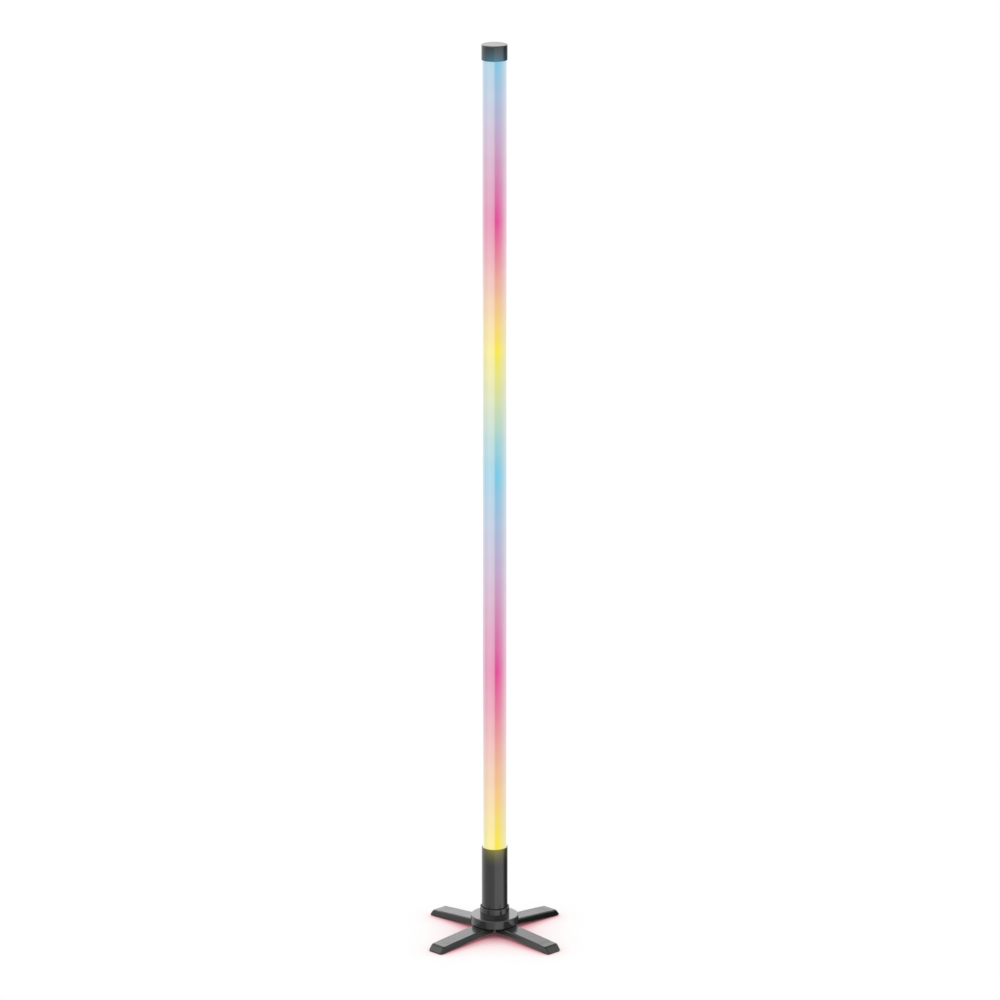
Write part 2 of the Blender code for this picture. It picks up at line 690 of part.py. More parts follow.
def make_handle_shell(tube):
    shoulder_z = CRADLE_TOP_Z
    profile = [
        (SHELL_BORE_R, SHELL_Z),
        (HANDLE_R, SHELL_Z),
        (HANDLE_R, HANDLE_TOP_Z - HANDLE_EDGE),
        (HANDLE_R - HANDLE_EDGE, HANDLE_TOP_Z),
        (TUBE_SEAT_R, HANDLE_TOP_Z),
        (TUBE_SEAT_R, shoulder_z),
        (SHELL_BORE_R, shoulder_z),
    ]
    shell = add_object("handle_shell", turned(profile), BLACK_PLASTIC, tube)
    places = [(side * BOSS_X, BOSS_Y) for side in (-1, 1)]
    screw_top = HANDLE_Z + GAP + END_SCREW_HEAD + END_SCREW_LENGTH
    join(shell, *(rod(BOSS_R, CRADLE_Z, CRADLE_Z + BOSS_LENGTH, place) for place in places))
    outside, inside = HANDLE_R * 1.2, BOARD_OUT_Y
    cut(
        shell,
        *(rod(END_SCREW_R + GAP, CRADLE_Z - GAP, screw_top + GAP, place, TINY_ROUND) for place in places),
        facing_back(rod(BUTTON_R + GAP, inside, outside), HANDLE_Z + POWER_BUTTON_UP),
        facing_back(rod(BUTTON_R + GAP, inside, outside), HANDLE_Z + MODE_BUTTON_UP),
        facing_back(rod(STATUS_R + GAP, inside, outside, sides=TINY_ROUND), HANDLE_Z + STATUS_UP),
        usb_prism(USB_LENGTH + 2 * GAP, USB_WIDTH + 2 * GAP, inside, outside),
    )
    dress(shell, BLACK_PLASTIC)


def make_end_cap(tube):
    """Closes the handle below; its stud centres the handle in the hub."""
    spigot_r = SHELL_BORE_R - GAP
    stud_z = WEIGHT_Z
    profile = [
        (0, stud_z),
        (STUD_R - GAP, stud_z),
        (STUD_R, stud_z + GAP),
        (STUD_R, HANDLE_Z),
        (HANDLE_R, HANDLE_Z),
        (HANDLE_R, HANDLE_Z + END_FLANGE),
        (spigot_r, HANDLE_Z + END_FLANGE),
        (spigot_r, HANDLE_Z + END_FLANGE + END_SPIGOT),
        (0, HANDLE_Z + END_FLANGE + END_SPIGOT),
    ]
    cap = add_object("handle_end_cap", turned(profile), BLACK_PLASTIC, tube)
    head_z = HANDLE_Z + GAP
    stepped = (
        (END_SCREW_HEAD_R + GAP, HANDLE_Z - GAP),
        (END_SCREW_R + GAP, head_z + END_SCREW_HEAD + GAP),
        (0, CRADLE_Z),
    )
    places = [(side * BOSS_X, BOSS_Y) for side in (-1, 1)]
    cut(cap, *(bore(stepped, place) for place in places))
    for number, place in enumerate(places, 1):
        bm = screw_mesh(END_SCREW_HEAD_R, END_SCREW_HEAD, END_SCREW_R, END_SCREW_LENGTH)
        add_object(f"end_cap_screw_{number}", bm, STEEL, tube, Matrix.Translation((*place, head_z)))
    dress(cap, BLACK_PLASTIC)


def cradle_outline(radius, lip):
    """A half circle about the cell, carried up as two straight lips."""
    curve = arc((0, CELL_Y), radius, 180, 360, 12)
    return [(-radius, CELL_Y + lip), *curve, (radius, CELL_Y + lip)]


def make_battery(tube):
    solid = prism(cradle_outline(CRADLE_R, CRADLE_LIP), CRADLE_Z, CRADLE_TOP_Z)
    cradle = add_object("battery_cradle", solid, WHITE_PLASTIC, tube)
    hollow = cradle_outline(CELL_R + GAP, CRADLE_LIP + GAP)
    cut(cradle, prism(hollow, CRADLE_Z + CRADLE_END, CRADLE_TOP_Z - CRADLE_END))
    dress(cradle, WHITE_PLASTIC)

    nib = CONTACT_THICK
    profile = [
        (0, 0),
        (CELL_R - CELL_EDGE, 0),
        (CELL_R, CELL_EDGE),
        *arc((CELL_R - CELL_EDGE, CELL_LENGTH - nib - CELL_EDGE), CELL_EDGE, 0, 90, 3),
        (CELL_NIB_R, CELL_LENGTH - nib),
        (CELL_NIB_R, CELL_LENGTH),
        (0, CELL_LENGTH),
    ]
    place = Matrix.Translation((0, CELL_Y, CELL_Z))
    add_object("battery_cell", turned(profile, ROUND), CELL_SLEEVE, tube, place)

    for name, low in (
        ("battery_contact_lower", CRADLE_Z + CRADLE_END + GAP),
        ("battery_contact_upper", CRADLE_TOP_Z - CRADLE_END - GAP - CONTACT_THICK),
    ):
        half = CONTACT_WIDTH / 2
        plate = box((-half, CELL_Y - half, low), (half, BOARD_Y - GAP, low + CONTACT_THICK))
        add_object(name, plate, BRASS, tube)


def make_control_board(tube):
    """The board behind the buttons, with its two switches and the larger parts soldered to it."""
    half = BOARD_WIDTH / 2
    low, high = CRADLE_Z, CRADLE_TOP_Z - GAP
    blank = box((-half, BOARD_Y, low), (half, BOARD_OUT_Y, high))
    board = add_object("control_board", blank, GREEN_BOARD, tube)
    rooted = BOARD_THICK / 2  # how far a soldered part starts inside the board
    parts, plungers = [], []
    for height in (POWER_BUTTON_UP, MODE_BUTTON_UP):
        centre, reach = HANDLE_Z + height, SWITCH_SIZE / 2
        body_top = BOARD_OUT_Y + SWITCH_BODY
        parts.append(box((-reach, BOARD_OUT_Y - rooted, centre - reach), (reach, body_top, centre + reach)))
        plunger = rod(SWITCH_PLUNGER_R, BOARD_OUT_Y, SWITCH_TOP_Y, sides=TINY_ROUND)
        plungers.append(facing_back(plunger, centre))
    for x, up, width, length, height in (CONTROLLER_CHIP, BOOST_COIL, CHARGER_CHIP):
        low_corner = (x - width / 2, BOARD_Y - height, HANDLE_Z + up - length / 2)
        high_corner = (x + width / 2, BOARD_Y + rooted / 2, HANDLE_Z + up + length / 2)
        parts.append(box(low_corner, high_corner))
    join(board, *parts)
    join(board, *plungers)
    dress(board, GREEN_BOARD)


def make_usb_socket(tube):
    """A charging socket that stands on the board with its mouth in the shell's slot."""
    back, mouth = BOARD_OUT_Y + GAP, HANDLE_R - 2 * GAP
    floor = back + 2 * USB_WALL
    socket = add_object("usb_socket", usb_prism(USB_LENGTH, USB_WIDTH, back, mouth), STEEL, tube)
    cut(socket, usb_prism(USB_LENGTH - 2 * USB_WALL, USB_WIDTH - 2 * USB_WALL, floor, mouth + GAP))
    half, reach, middle = USB_TONGUE / 2, USB_LENGTH / 2 - 4 * USB_WALL, HANDLE_Z + USB_UP
    join(socket, box((-half, back + USB_WALL, middle - reach), (half, mouth - USB_WALL, middle + reach)))
    dress(socket, STEEL)


def make_status_light_pipe(tube):
    back = BOARD_OUT_Y + SWITCH_BODY
    front = HANDLE_R + GAP
    profile = [
        (0, back),
        (STATUS_R, back),
        *arc((STATUS_R - GAP, front - GAP), GAP, 0, 90, 2),
        (0, front),
    ]
    bm = facing_back(turned(profile, TINY_ROUND), HANDLE_Z + STATUS_UP)
    add_object("status_light_pipe", bm, CLEAR_PLASTIC, tube)


def make_button(name, height, tube):
    """A push button that moves along -Y, with a flange that keeps it inside the shell."""
    pressed = SWITCH_TOP_Y + GAP
    flange = pressed + BUTTON_TRAVEL
    front = HANDLE_R + BUTTON_PROUD
    profile = [
        (0, flange),
        (BUTTON_R + BUTTON_FLANGE, flange),
        (BUTTON_R + BUTTON_FLANGE, flange + BUTTON_FLANGE_THICK),
        (BUTTON_R, flange + BUTTON_FLANGE_THICK),
        *arc((BUTTON_R - BUTTON_EDGE, front - BUTTON_EDGE), BUTTON_EDGE, 0, 90, 3),
        (BUTTON_R / 2, front - BUTTON_EDGE / 3),
        (0, front - BUTTON_EDGE / 2),
    ]
    bm = facing_back(turned(profile, SMALL_ROUND), 0)
    add_object(name, bm, BLACK_RUBBER, tube, Matrix.Translation((0, 0, HANDLE_Z + height)))


# ---- Lit tube ---------------------------------------------------------------------------------------
def carrier_slot(extra, low, high):
    """The bar's section with the same extra all round, for the bar itself or for a slot that holds it."""
    half_width, half_thick = CARRIER_WIDTH / 2 + extra, CARRIER_THICK / 2 + extra
    return box((-half_width, -half_thick, low), (half_width, half_thick, high))


def lead_places():
    """Where the two leads pass the bottom plug: (name, x, y)."""
    y = BOARD_Y - LEAD_R - GAP
    return (("front", -BOARD_WIDTH * 0.4, y), ("back", BOARD_WIDTH * 0.4, y))


def make_plugs(tube):
    """The two inserts that hold the aluminium bar on the tube's axis."""
    plug_r = TUBE_BORE_R - GAP
    flange_r = TUBE_R - GAP
    lower = [
        (0, PLUG_Z),
        (flange_r, PLUG_Z),
        (flange_r, PLUG_SPIGOT_Z),
        (plug_r, PLUG_SPIGOT_Z),
        (plug_r, PLUG_TOP_Z),
        (0, PLUG_TOP_Z),
    ]
    bottom = add_object("bottom_plug", turned(lower), WHITE_PLASTIC, tube)
    cut(
        bottom,
        carrier_slot(GAP, PLUG_SPIGOT_Z, PLUG_TOP_Z + GAP),
        *(rod(LEAD_R + GAP, PLUG_Z - GAP, PLUG_TOP_Z + GAP, (x, y), TINY_ROUND) for _, x, y in lead_places()),
    )
    dress(bottom, WHITE_PLASTIC)

    top = add_object("top_plug", rod(plug_r, TOP_PLUG_Z, TOP_PLUG_TOP_Z, sides=ROUND), WHITE_PLASTIC, tube)
    cut(top, carrier_slot(GAP, TOP_PLUG_Z - GAP, TOP_PLUG_TOP_Z - TOP_PLUG_ROOF))
    dress(top, WHITE_PLASTIC)


def led_strip_mesh(low, high):
    """A flexible strip lying on the plane y = 0 and facing +Y, with its LEDs raised in one row."""
    count = int((high - low) / LED_PITCH)
    first = (low + high - (count - 1) * LED_PITCH) / 2
    rows = [low]
    for i in range(count):
        centre = first + i * LED_PITCH
        rows += [centre - LED_SIZE / 2, centre + LED_SIZE / 2]
    rows.append(high)
    columns = (-STRIP_WIDTH / 2, -LED_SIZE / 2, LED_SIZE / 2, STRIP_WIDTH / 2)
    bm = bmesh.new()
    grid = [[bm.verts.new((x, 0, z)) for x in columns] for z in rows]
    for i in range(len(rows) - 1):
        for j in range(len(columns) - 1):
            bm.faces.new((grid[i][j], grid[i][j + 1], grid[i + 1][j + 1], grid[i + 1][j]))
    raised = bmesh.ops.extrude_face_region(bm, geom=bm.faces[:])["geom"]
    faces = [item for item in raised if isinstance(item, bmesh.types.BMFace)]
    verts = [item for item in raised if isinstance(item, bmesh.types.BMVert)]
    bmesh.ops.translate(bm, vec=(0, STRIP_THICK, 0), verts=verts)
    packages = []
    for face in faces:
        middle = face.calc_center_median()
        step = round((middle.z - first) / LED_PITCH)
        on_row = abs(middle.z - (first + step * LED_PITCH)) < LED_SIZE / 4
        if on_row and abs(middle.x) < LED_SIZE / 4:
            packages.append(face)
    lids = bmesh.ops.extrude_discrete_faces(bm, faces=packages)["faces"]
    bmesh.ops.translate(bm, vec=(0, LED_HEIGHT, 0), verts=[v for face in lids for v in face.verts])
    return bm


def make_light_engine(tube):
    """The aluminium bar with a strip of LEDs on its front and on its back."""
    bar_top = TOP_PLUG_TOP_Z - TOP_PLUG_ROOF - GAP
    add_object("led_carrier", carrier_slot(0, PLUG_SPIGOT_Z + GAP, bar_top), ALUMINIUM, tube)
    low, high = PLUG_TOP_Z + STRIP_END_MARGIN, TOP_PLUG_Z - STRIP_END_MARGIN
    off_axis = CARRIER_THICK / 2 + GAP
    back = add_object(
        "led_strip_back", led_strip_mesh(low, high), WHITE_PLASTIC, tube, Matrix.Translation((0, off_axis, 0))
    )
    turn = Matrix.Rotation(pi, 4, "Z") @ Matrix.Translation((0, off_axis, 0))
    add_mesh("led_strip_front", back.data.copy(), WHITE_PLASTIC, tube, turn)


def make_diffuser_tube(tube):
    profile = [(TUBE_BORE_R, TUBE_Z), (TUBE_R, TUBE_Z), (TUBE_R, TUBE_TOP_Z), (TUBE_BORE_R, TUBE_TOP_Z)]
    add_object("diffuser_tube", turned(profile), FROSTED, tube)


def make_leads(tube):
    """One insulated lead from the board to each strip, through the bottom plug."""
    face = CARRIER_THICK / 2 + GAP + STRIP_THICK + GAP + LEAD_R
    strip_z = PLUG_TOP_Z + STRIP_END_MARGIN
    solder_x = STRIP_WIDTH * 0.35
    bend_z, lie_z, solder_z = (strip_z + rise for rise in LEAD_RISES)
    front_tail = [(-0.0094, 0.001, bend_z), (-0.0078, -face, lie_z), (-solder_x, -face, solder_z)]
    back_tail = [(0.0072, 0.0052, bend_z), (0.0055, face, lie_z), (solder_x, face, solder_z)]
    ends = {"front": (RED_INSULATION, front_tail), "back": (BLACK_INSULATION, back_tail)}
    for name, x, y in lead_places():
        finish, tail = ends[name]
        heights = (CRADLE_TOP_Z - LEAD_START, PLUG_Z, PLUG_TOP_Z, PLUG_TOP_Z + 2 * LEAD_R)
        through = [(x, y, z) for z in heights]
        curve = bpy.data.curves.new(f"led_lead_{name}", "CURVE")
        curve.dimensions = "3D"
        curve.bevel_depth = LEAD_R
        curve.bevel_resolution = 2
        curve.use_fill_caps = True
        route = smooth_route([Vector(point) for point in through + tail])
        spline = curve.splines.new("POLY")
        spline.points.add(len(route) - 1)
        for point, place in zip(spline.points, route):
            point.co = (*place, 1)
        lead = bpy.data.objects.new(f"led_lead_{name}", curve)
        bpy.context.scene.collection.objects.link(lead)
        attach(lead, tube)
        dress(lead, finish)


def make_top_cap(tube):
    """A cup over the tube's upper end."""
    profile = [
        (TUBE_SEAT_R, CAP_Z),
        (CAP_R, CAP_Z),
        *arc((CAP_R - CAP_EDGE, OVERALL_HEIGHT - CAP_EDGE), CAP_EDGE, 0, 90, 4),
        (0, OVERALL_HEIGHT),
        (0, OVERALL_HEIGHT - CAP_TOP),
        (TUBE_SEAT_R, OVERALL_HEIGHT - CAP_TOP),
    ]
    # The outline starts and ends on the axis, so it is turned from the middle of the lid outwards.
    start = profile.index((0, OVERALL_HEIGHT - CAP_TOP))
    add_object("top_cap", turned(profile[start:] + profile[:start]), BLACK_PLASTIC, tube)


def main():
    clear_scene()
    base = add_empty("base", (0, 0, 0))
    make_hub_cover(base)
    make_hub_weight(base)
    make_base_plate(base)
    make_cover_screws(base)
    make_legs(base)
    liner = make_socket_liner(base)

    tube = add_empty("tube", (0, 0, HANDLE_Z))
    tube.parent = liner
    make_handle_shell(tube)
    make_end_cap(tube)
    make_battery(tube)
    make_control_board(tube)
    make_usb_socket(tube)
    make_status_light_pipe(tube)
    make_button("power_button", POWER_BUTTON_UP, tube)
    make_button("mode_button", MODE_BUTTON_UP, tube)
    make_plugs(tube)
    make_light_engine(tube)
    make_leads(tube)
    make_diffuser_tube(tube)
    make_top_cap(tube)


main()
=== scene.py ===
"""The looks of the LED light tube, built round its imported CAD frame.

Metres, +Z up. The tube's axis is the Z axis, the floor is z = 0 and -Y is the front.
Each finished piece stands for one CAD node and rides on that node's body. The pieces inside the
handle and the tube stay CAD nodes and get their materials here.
"""

import json
from math import cos, pi, radians, sin

import bmesh
import bpy
from mathutils import Matrix, Vector


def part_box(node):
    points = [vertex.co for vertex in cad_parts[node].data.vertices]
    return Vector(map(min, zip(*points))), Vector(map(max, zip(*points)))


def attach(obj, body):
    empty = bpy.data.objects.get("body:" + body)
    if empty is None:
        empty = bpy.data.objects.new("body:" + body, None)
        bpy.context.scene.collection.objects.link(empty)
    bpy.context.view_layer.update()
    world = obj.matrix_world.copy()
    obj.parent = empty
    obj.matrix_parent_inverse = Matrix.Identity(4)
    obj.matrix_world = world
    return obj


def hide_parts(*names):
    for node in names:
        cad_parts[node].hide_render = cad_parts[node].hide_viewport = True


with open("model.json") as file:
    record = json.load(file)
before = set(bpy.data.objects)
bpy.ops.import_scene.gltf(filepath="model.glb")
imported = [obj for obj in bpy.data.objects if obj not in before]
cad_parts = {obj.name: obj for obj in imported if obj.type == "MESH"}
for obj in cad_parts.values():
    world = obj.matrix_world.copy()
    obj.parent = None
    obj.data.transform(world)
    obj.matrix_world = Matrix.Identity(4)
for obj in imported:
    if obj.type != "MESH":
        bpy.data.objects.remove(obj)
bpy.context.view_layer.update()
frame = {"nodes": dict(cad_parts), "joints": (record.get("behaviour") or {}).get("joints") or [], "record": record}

BODY_OF = {node: body for body, nodes in frame["record"]["behaviour"]["bodies"].items() for node in nodes}
PIVOTS = {joint["child"]: joint["pos_m"] for joint in frame["joints"] if joint["name"].endswith("_fold")}


def span(node):
    """A CAD node's lowest z, highest z and reach along +X."""
    low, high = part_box(node)
    return low.z, high.z, high.x


def middle(node):
    """The middle of a CAD node's box."""
    low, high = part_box(node)
    return [(start + end) / 2 for start, end in zip(low, high)]


# ---- Sizes: from the frame, or as in the CAD where a node's box doesn't give them -------------------
TUBE_Z, TUBE_TOP_Z, TUBE_R = span("diffuser_tube")
CAP_Z, CAP_TOP_Z, CAP_R = span("top_cap")
SHELL_Z, HANDLE_TOP_Z, HANDLE_R = span("handle_shell")
END_CAP_Z, END_CAP_TOP_Z, _ = span("handle_end_cap")
HUB_Z, COLLAR_TOP_Z, HUB_R = span("hub_cover")
PLATE_Z, PLATE_TOP_Z, PLATE_R = span("hub_base_plate")
LINER_Z, LINER_TOP_Z, LINER_R = span("socket_liner")
WEIGHT_TOP_Z = span("hub_weight")[1]
LEG_TOP_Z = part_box("leg_front_left")[1].z
SOLE_TOP_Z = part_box("foot_sole_front_left")[1].z
WASHER_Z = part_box("pivot_washer_front_left")[0].z

GAP = 0.0003  # between pieces that don't touch
TUBE_WALL = 0.0012
TUBE_LIP = 0.0002
TUBE_SEAT_R = TUBE_R + 0.0002
CAP_LID = 0.0025
CAP_EDGE = 0.0015
CAP_RIM_EDGE = 0.0002
HANDLE_EDGE = 0.0004
HANDLE_WALL = 0.0017
SHELL_BORE_R = HANDLE_R - HANDLE_WALL
SHOULDER_Z = span("battery_cradle")[1]
END_FLANGE_Z = SHELL_Z - GAP
STUD_R = 0.007
STUD_HOLE_R = 0.0076
STUD_EDGE = 0.0005
COLLAR_R = LINER_R + 0.00125
COLLAR_EDGE = 0.0006
SOCKET_R = LINER_R + 0.00015
SOCKET_Z = LINER_Z - GAP
LINER_WALL = 0.0009
LINER_FLOOR = 0.001
HUB_ROOF_Z = WEIGHT_TOP_Z + GAP
HUB_TOP_Z = HUB_ROOF_Z + 0.0028
HUB_WALL = 0.0022
HUB_EDGE = 0.0016
FILLET = 0.0004  # in the inside corner between the disc and the collar

BUTTON_R = 0.004
BUTTON_FLANGE = 0.001
BUTTON_FLANGE_THICK = 0.0008
BUTTON_EDGE = 0.0005
DISH = 0.00018  # depth of a button's hollow face
MARK_R = 0.0013
MARK_WIDTH = 0.0003
MARK_HEIGHT = 0.7  # as a share of the dish's depth
STATUS_R = 0.0011
USB_LENGTH = 0.009
USB_WIDTH = 0.0033

LEG_WIDTH = 0.0244
LEG_LENGTH = 0.0936
LEG_LIFT = 0.0069
LEG_FLAT_TOP = 0.0126
LEG_FLAT_UNDER = 0.0215
LEG_TIP_TOP = 0.0096
LEG_TIP_RAKE = 0.0065
LEG_TIP_CORNER = 0.003
LEG_TOP_EDGE = 0.0022
LEG_UNDER_EDGE = 0.0008
SOLE_THICK = 0.0012
SOLE_LENGTH = 0.0118
SOLE_INSET = 0.0010
SOLE_CORNER = 0.0022
SOLE_EDGE = 0.0003
SOLE_KEY_LENGTH = 0.007
SOLE_KEY_WIDTH = 0.014
TREAD_COUNT = 4
TREAD_WIDTH = 0.0009
TREAD_DEPTH = 0.0005
LEG_TIP_UNDER_Z = SOLE_THICK + GAP
SOLE_END = LEG_LENGTH - SOLE_INSET
SOLE_START = SOLE_END - SOLE_LENGTH
PIVOT_R = 0.0025
PIVOT_HOLE_R = 0.0026
PIVOT_HEAD_R = 0.0042
PIVOT_HEAD = 0.0017
PIVOT_HEAD_SINK = 0.0004  # of the head's face into the leg's underside
PIVOT_THREAD_R = 0.002
PIVOT_THREAD_PITCH = 0.0008
PIVOT_THREAD_DEPTH = 0.00025
HEX_DEPTH = 0.001
WASHER_R = 0.006
SMALL_HEAD_R = {"cover_screw": 0.0021, "end_cap_screw": 0.0019}
SMALL_SHANK_R = {"cover_screw": 0.001, "end_cap_screw": 0.0011}
SMALL_HEAD = {"cover_screw": 0.0007, "end_cap_screw": 0.0009}
SMALL_THREAD_PITCH = 0.0006
SMALL_THREAD_DEPTH = 0.0002
SCREW_EDGE = 0.00025
# shares of the head's radius, and of the recess's or the head's depth
CROSS_ARM = 0.24
CROSS_REACH = 0.62
CROSS_TAPER = 0.7
CROSS_DEPTH = 0.6
HEX_REACH = 0.5
CUTTER_START = 0.2
COVER_SCREW_HOLE = 0.0013  # depth of a screw's hole in the plate
PIVOT_SCREW_HOLE = 0.0025

LED_PITCH = 1 / 30
LED_FACE = 0.0004  # how far an LED's face stands proud of its strip
PHOSPHOR_HALF = 0.0019
PAD_INNER_X = 0.0034
PAD_HALF = 0.06  # half the length of a solder pad, in LED pitches
PLUNGER = 0.0005  # how far a switch's plunger stands out
SWITCH_HEIGHT = 0.0018  # of a switch with its plunger over the board's face
COIL_HEIGHT = 0.0022  # of the tallest part on the board's back
BOARD_SKIN = 0.0002  # clearance that keeps the board's own faces green
CELL_BARE_END = 0.0012
HANDLE_GLOW_DEPTH = 0.026  # how far down the handle the painted glow from the tube reaches

ROUND = 160  # sides of a large round piece
SMALL_ROUND = 64

# ---- The running colours of the lit tube, as linear light -------------------------------------------
BLUE = (0.16, 0.56, 0.76)
MAGENTA = (0.73, 0.045, 0.29)
YELLOW = (0.91, 0.79, 0.05)
BLUE_TO_MAGENTA = ((0.35, 0.485, 0.675), (0.52, 0.355, 0.555), (0.63, 0.195, 0.41))
MAGENTA_TO_YELLOW = ((0.77, 0.195, 0.31), (0.825, 0.41, 0.29), (0.89, 0.6, 0.19))
YELLOW_TO_BLUE = ((0.74, 0.74, 0.23), (0.53, 0.68, 0.44), (0.31, 0.61, 0.63))
# (height of the first colour, that colour, the blends up to the next colour), from the top down
COLOUR_RUN = (
    (1.19, BLUE, BLUE_TO_MAGENTA),
    (0.972, MAGENTA, MAGENTA_TO_YELLOW),
    (0.8, YELLOW, YELLOW_TO_BLUE),
    (0.636, BLUE, BLUE_TO_MAGENTA),
    (0.367, MAGENTA, MAGENTA_TO_YELLOW),
    (0.13, YELLOW, ()),
)
PALE_SIDE = (0.64, 0.635, 0.65)  # pale white that the sides of the tube take on: partly the glow of the LED rows facing front and back, partly a painted sheen
PALE_POWER = 2.4  # how late the paling sets in on the way to the side
PALE_MOST = 0.66
PALE_DIMMING = 0.84  # share of the colour that full paling takes away
# white of a painted reflection on the tube's gloss, put into its emission colour: strong over the left half, faint
# at the right edge
REFLECTION_WHITE = (1.15, 1.1, 1.12)
# (place across the tube as a share of its radius, strength of the painted white reflection), from left to right
REFLECTION_ACROSS = (
    (-0.76, 0.0),
    (-0.63, 0.11),
    (-0.5, 0.22),
    (-0.36, 0.26),
    (-0.1, 0.25),
    (0.0, 0.17),
    (0.07, 0.0),
    (0.6, 0.0),
    (0.85, 0.08),
)


def between(value, low, high):
    """How far the value lies from low to high, held to 0..1."""
    return min(1, max(0, (value - low) / (high - low)))


# ---- Mesh helpers -----------------------------------------------------------------------------------
def new_object(name, bm):
    bmesh.ops.recalc_face_normals(bm, faces=bm.faces)
    mesh = bpy.data.meshes.new(name)
    bm.to_mesh(mesh)
    bm.free()
    obj = bpy.data.objects.new(name, mesh)
    bpy.context.scene.collection.objects.link(obj)
    return obj


def combine(target, bm, operation="DIFFERENCE"):
    """Applies one Boolean of the shape to the target."""
    helper = new_object("helper", bm)
    modifier = target.modifiers.new("combine", "BOOLEAN")
    modifier.operation = operation
    modifier.solver = "EXACT"
    modifier.object = helper
    graph = bpy.context.evaluated_depsgraph_get()
    result = bpy.data.meshes.new_from_object(target.evaluated_get(graph))
    target.modifiers.clear()
    target.data = result
    bpy.data.objects.remove(helper, do_unlink=True)


def gathered(shapes):
    """Separate closed shapes in one bmesh."""
    whole = bmesh.new()
    for shape in shapes:
        mesh = bpy.data.meshes.new("shape")
        shape.to_mesh(mesh)
        shape.free()
        whole.from_mesh(mesh)
        bpy.data.meshes.remove(mesh)
    return whole


def arc(centre, radius, start, end, steps):
    """Points of an arc in a plane, with angles in degrees, both ends included."""
    angles = [radians(start + (end - start) * i / steps) for i in range(steps + 1)]
    return [(centre[0] + radius * cos(a), centre[1] + radius * sin(a)) for a in angles]


def rounded(profile, radii, steps=5):
    """A closed (radius, z) outline with chosen corners rounded: radii maps a corner's index to its radius."""
    points = []
    count = len(profile)
    for i, corner in enumerate(profile):
        if i not in radii:
            points.append(corner)
            continue
        here = Vector(corner)
        to_last = (Vector(profile[i - 1]) - here).normalized()
        to_next = (Vector(profile[(i + 1) % count]) - here).normalized()
        reach = radii[i]
        start, end = here + to_last * reach, here + to_next * reach
        for step in range(steps + 1):
            t = step / steps
            points.append(tuple(start * (1 - t) ** 2 + here * 2 * t * (1 - t) + end * t**2))
    return points


def turned(profile, sides=ROUND):
    """A closed (radius, z) outline spun about Z."""
    bm = bmesh.new()
    verts = [bm.verts.new((r, 0, z)) for r, z in profile]
    edges = [bm.edges.new(pair) for pair in zip(verts, verts[1:])]
    if profile[0][0] > 0:
        edges.append(bm.edges.new((verts[-1], verts[0])))
    bmesh.ops.spin(
        bm, geom=verts + edges, cent=(0, 0, 0), axis=(0, 0, 1), angle=2 * pi, steps=sides, use_merge=True
    )
    bmesh.ops.remove_doubles(bm, verts=bm.verts, dist=1e-7)
    return bm


def rod(radius, low, high, at=(0, 0), sides=SMALL_ROUND):
    bm = bmesh.new()
    bmesh.ops.create_cone(
        bm, cap_ends=True, segments=sides, radius1=radius, radius2=radius, depth=high - low
    )
    bmesh.ops.translate(bm, vec=(*at, (low + high) / 2), verts=bm.verts)
    return bm


def box(low, high):
    bm = bmesh.new()
    bmesh.ops.create_cube(bm, size=1)
    size = Vector(high) - Vector(low)
    centre = (Vector(high) + Vector(low)) / 2
    bmesh.ops.transform(bm, matrix=Matrix.Translation(centre) @ Matrix.Diagonal((*size, 1)), verts=bm.verts)
    return bm


def loft(rings):
    """A closed mesh through rings of points of equal count, capped at both ends."""
    bm = bmesh.new()
    made = [[bm.verts.new(point) for point in ring] for ring in rings]
    for lower, upper in zip(made, made[1:]):
        for i in range(len(lower)):
            j = (i + 1) % len(lower)
            bm.faces.new((lower[i], lower[j], upper[j], upper[i]))
    bm.faces.new(made[0])
    bm.faces.new(made[-1])
    return bm


def moved(bm, matrix):
    bmesh.ops.transform(bm, matrix=matrix, verts=bm.verts)
    return bm


def facing_back(bm, height):
    """Turns a shape made along Z so that it points along +Y, at the height given."""
    return moved(bm, Matrix.Translation((0, 0, height)) @ Matrix.Rotation(radians(-90), 4, "X"))


def rounded_rectangle(x0, x1, half_width, corner, steps=8):
    y = half_width - corner
    left, right = x0 + corner, x1 - corner
    return (
        arc((right, y), corner, 0, 90, steps)
        + arc((left, y), corner, 90, 180, steps)
        + arc((left, -y), corner, 180, 270, steps)
        + arc((right, -y), corner, 270, 360, steps)
    )


def settle(obj, sharp=32):
    """Smooth shading that keeps the edges, with flat faces kept flat beside rounded ones."""
    obj.data.shade_smooth()
    obj.data.set_sharp_from_angle(angle=radians(sharp))
    weighted = obj.modifiers.new("weighted normals", "WEIGHTED_NORMAL")
    weighted.keep_sharp = True


def finish_piece(obj, node, material):
    """The object becomes the finished piece that stands for the CAD node."""
    obj.name = f"{node}_finished"
    obj.data.name = obj.name
    obj.data.materials.clear()
    obj.data.materials.append(material)
    settle(obj)
    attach(obj, BODY_OF[node])
    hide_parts(node)


# ---- Material helpers -------------------------------------------------------------------------------
def grey(value):
    return (value, value, value)


def fill_ramp(ramp, stops):
    """Puts (position, colour) stops, in rising order, in a colour ramp node."""
    elements = ramp.color_ramp.elements
    elements.remove(elements[1])
    for i, (position, colour) in enumerate(stops):
        element = elements[0] if i == 0 else elements.new(position)
        element.position = position
        element.color = (*colour, 1)


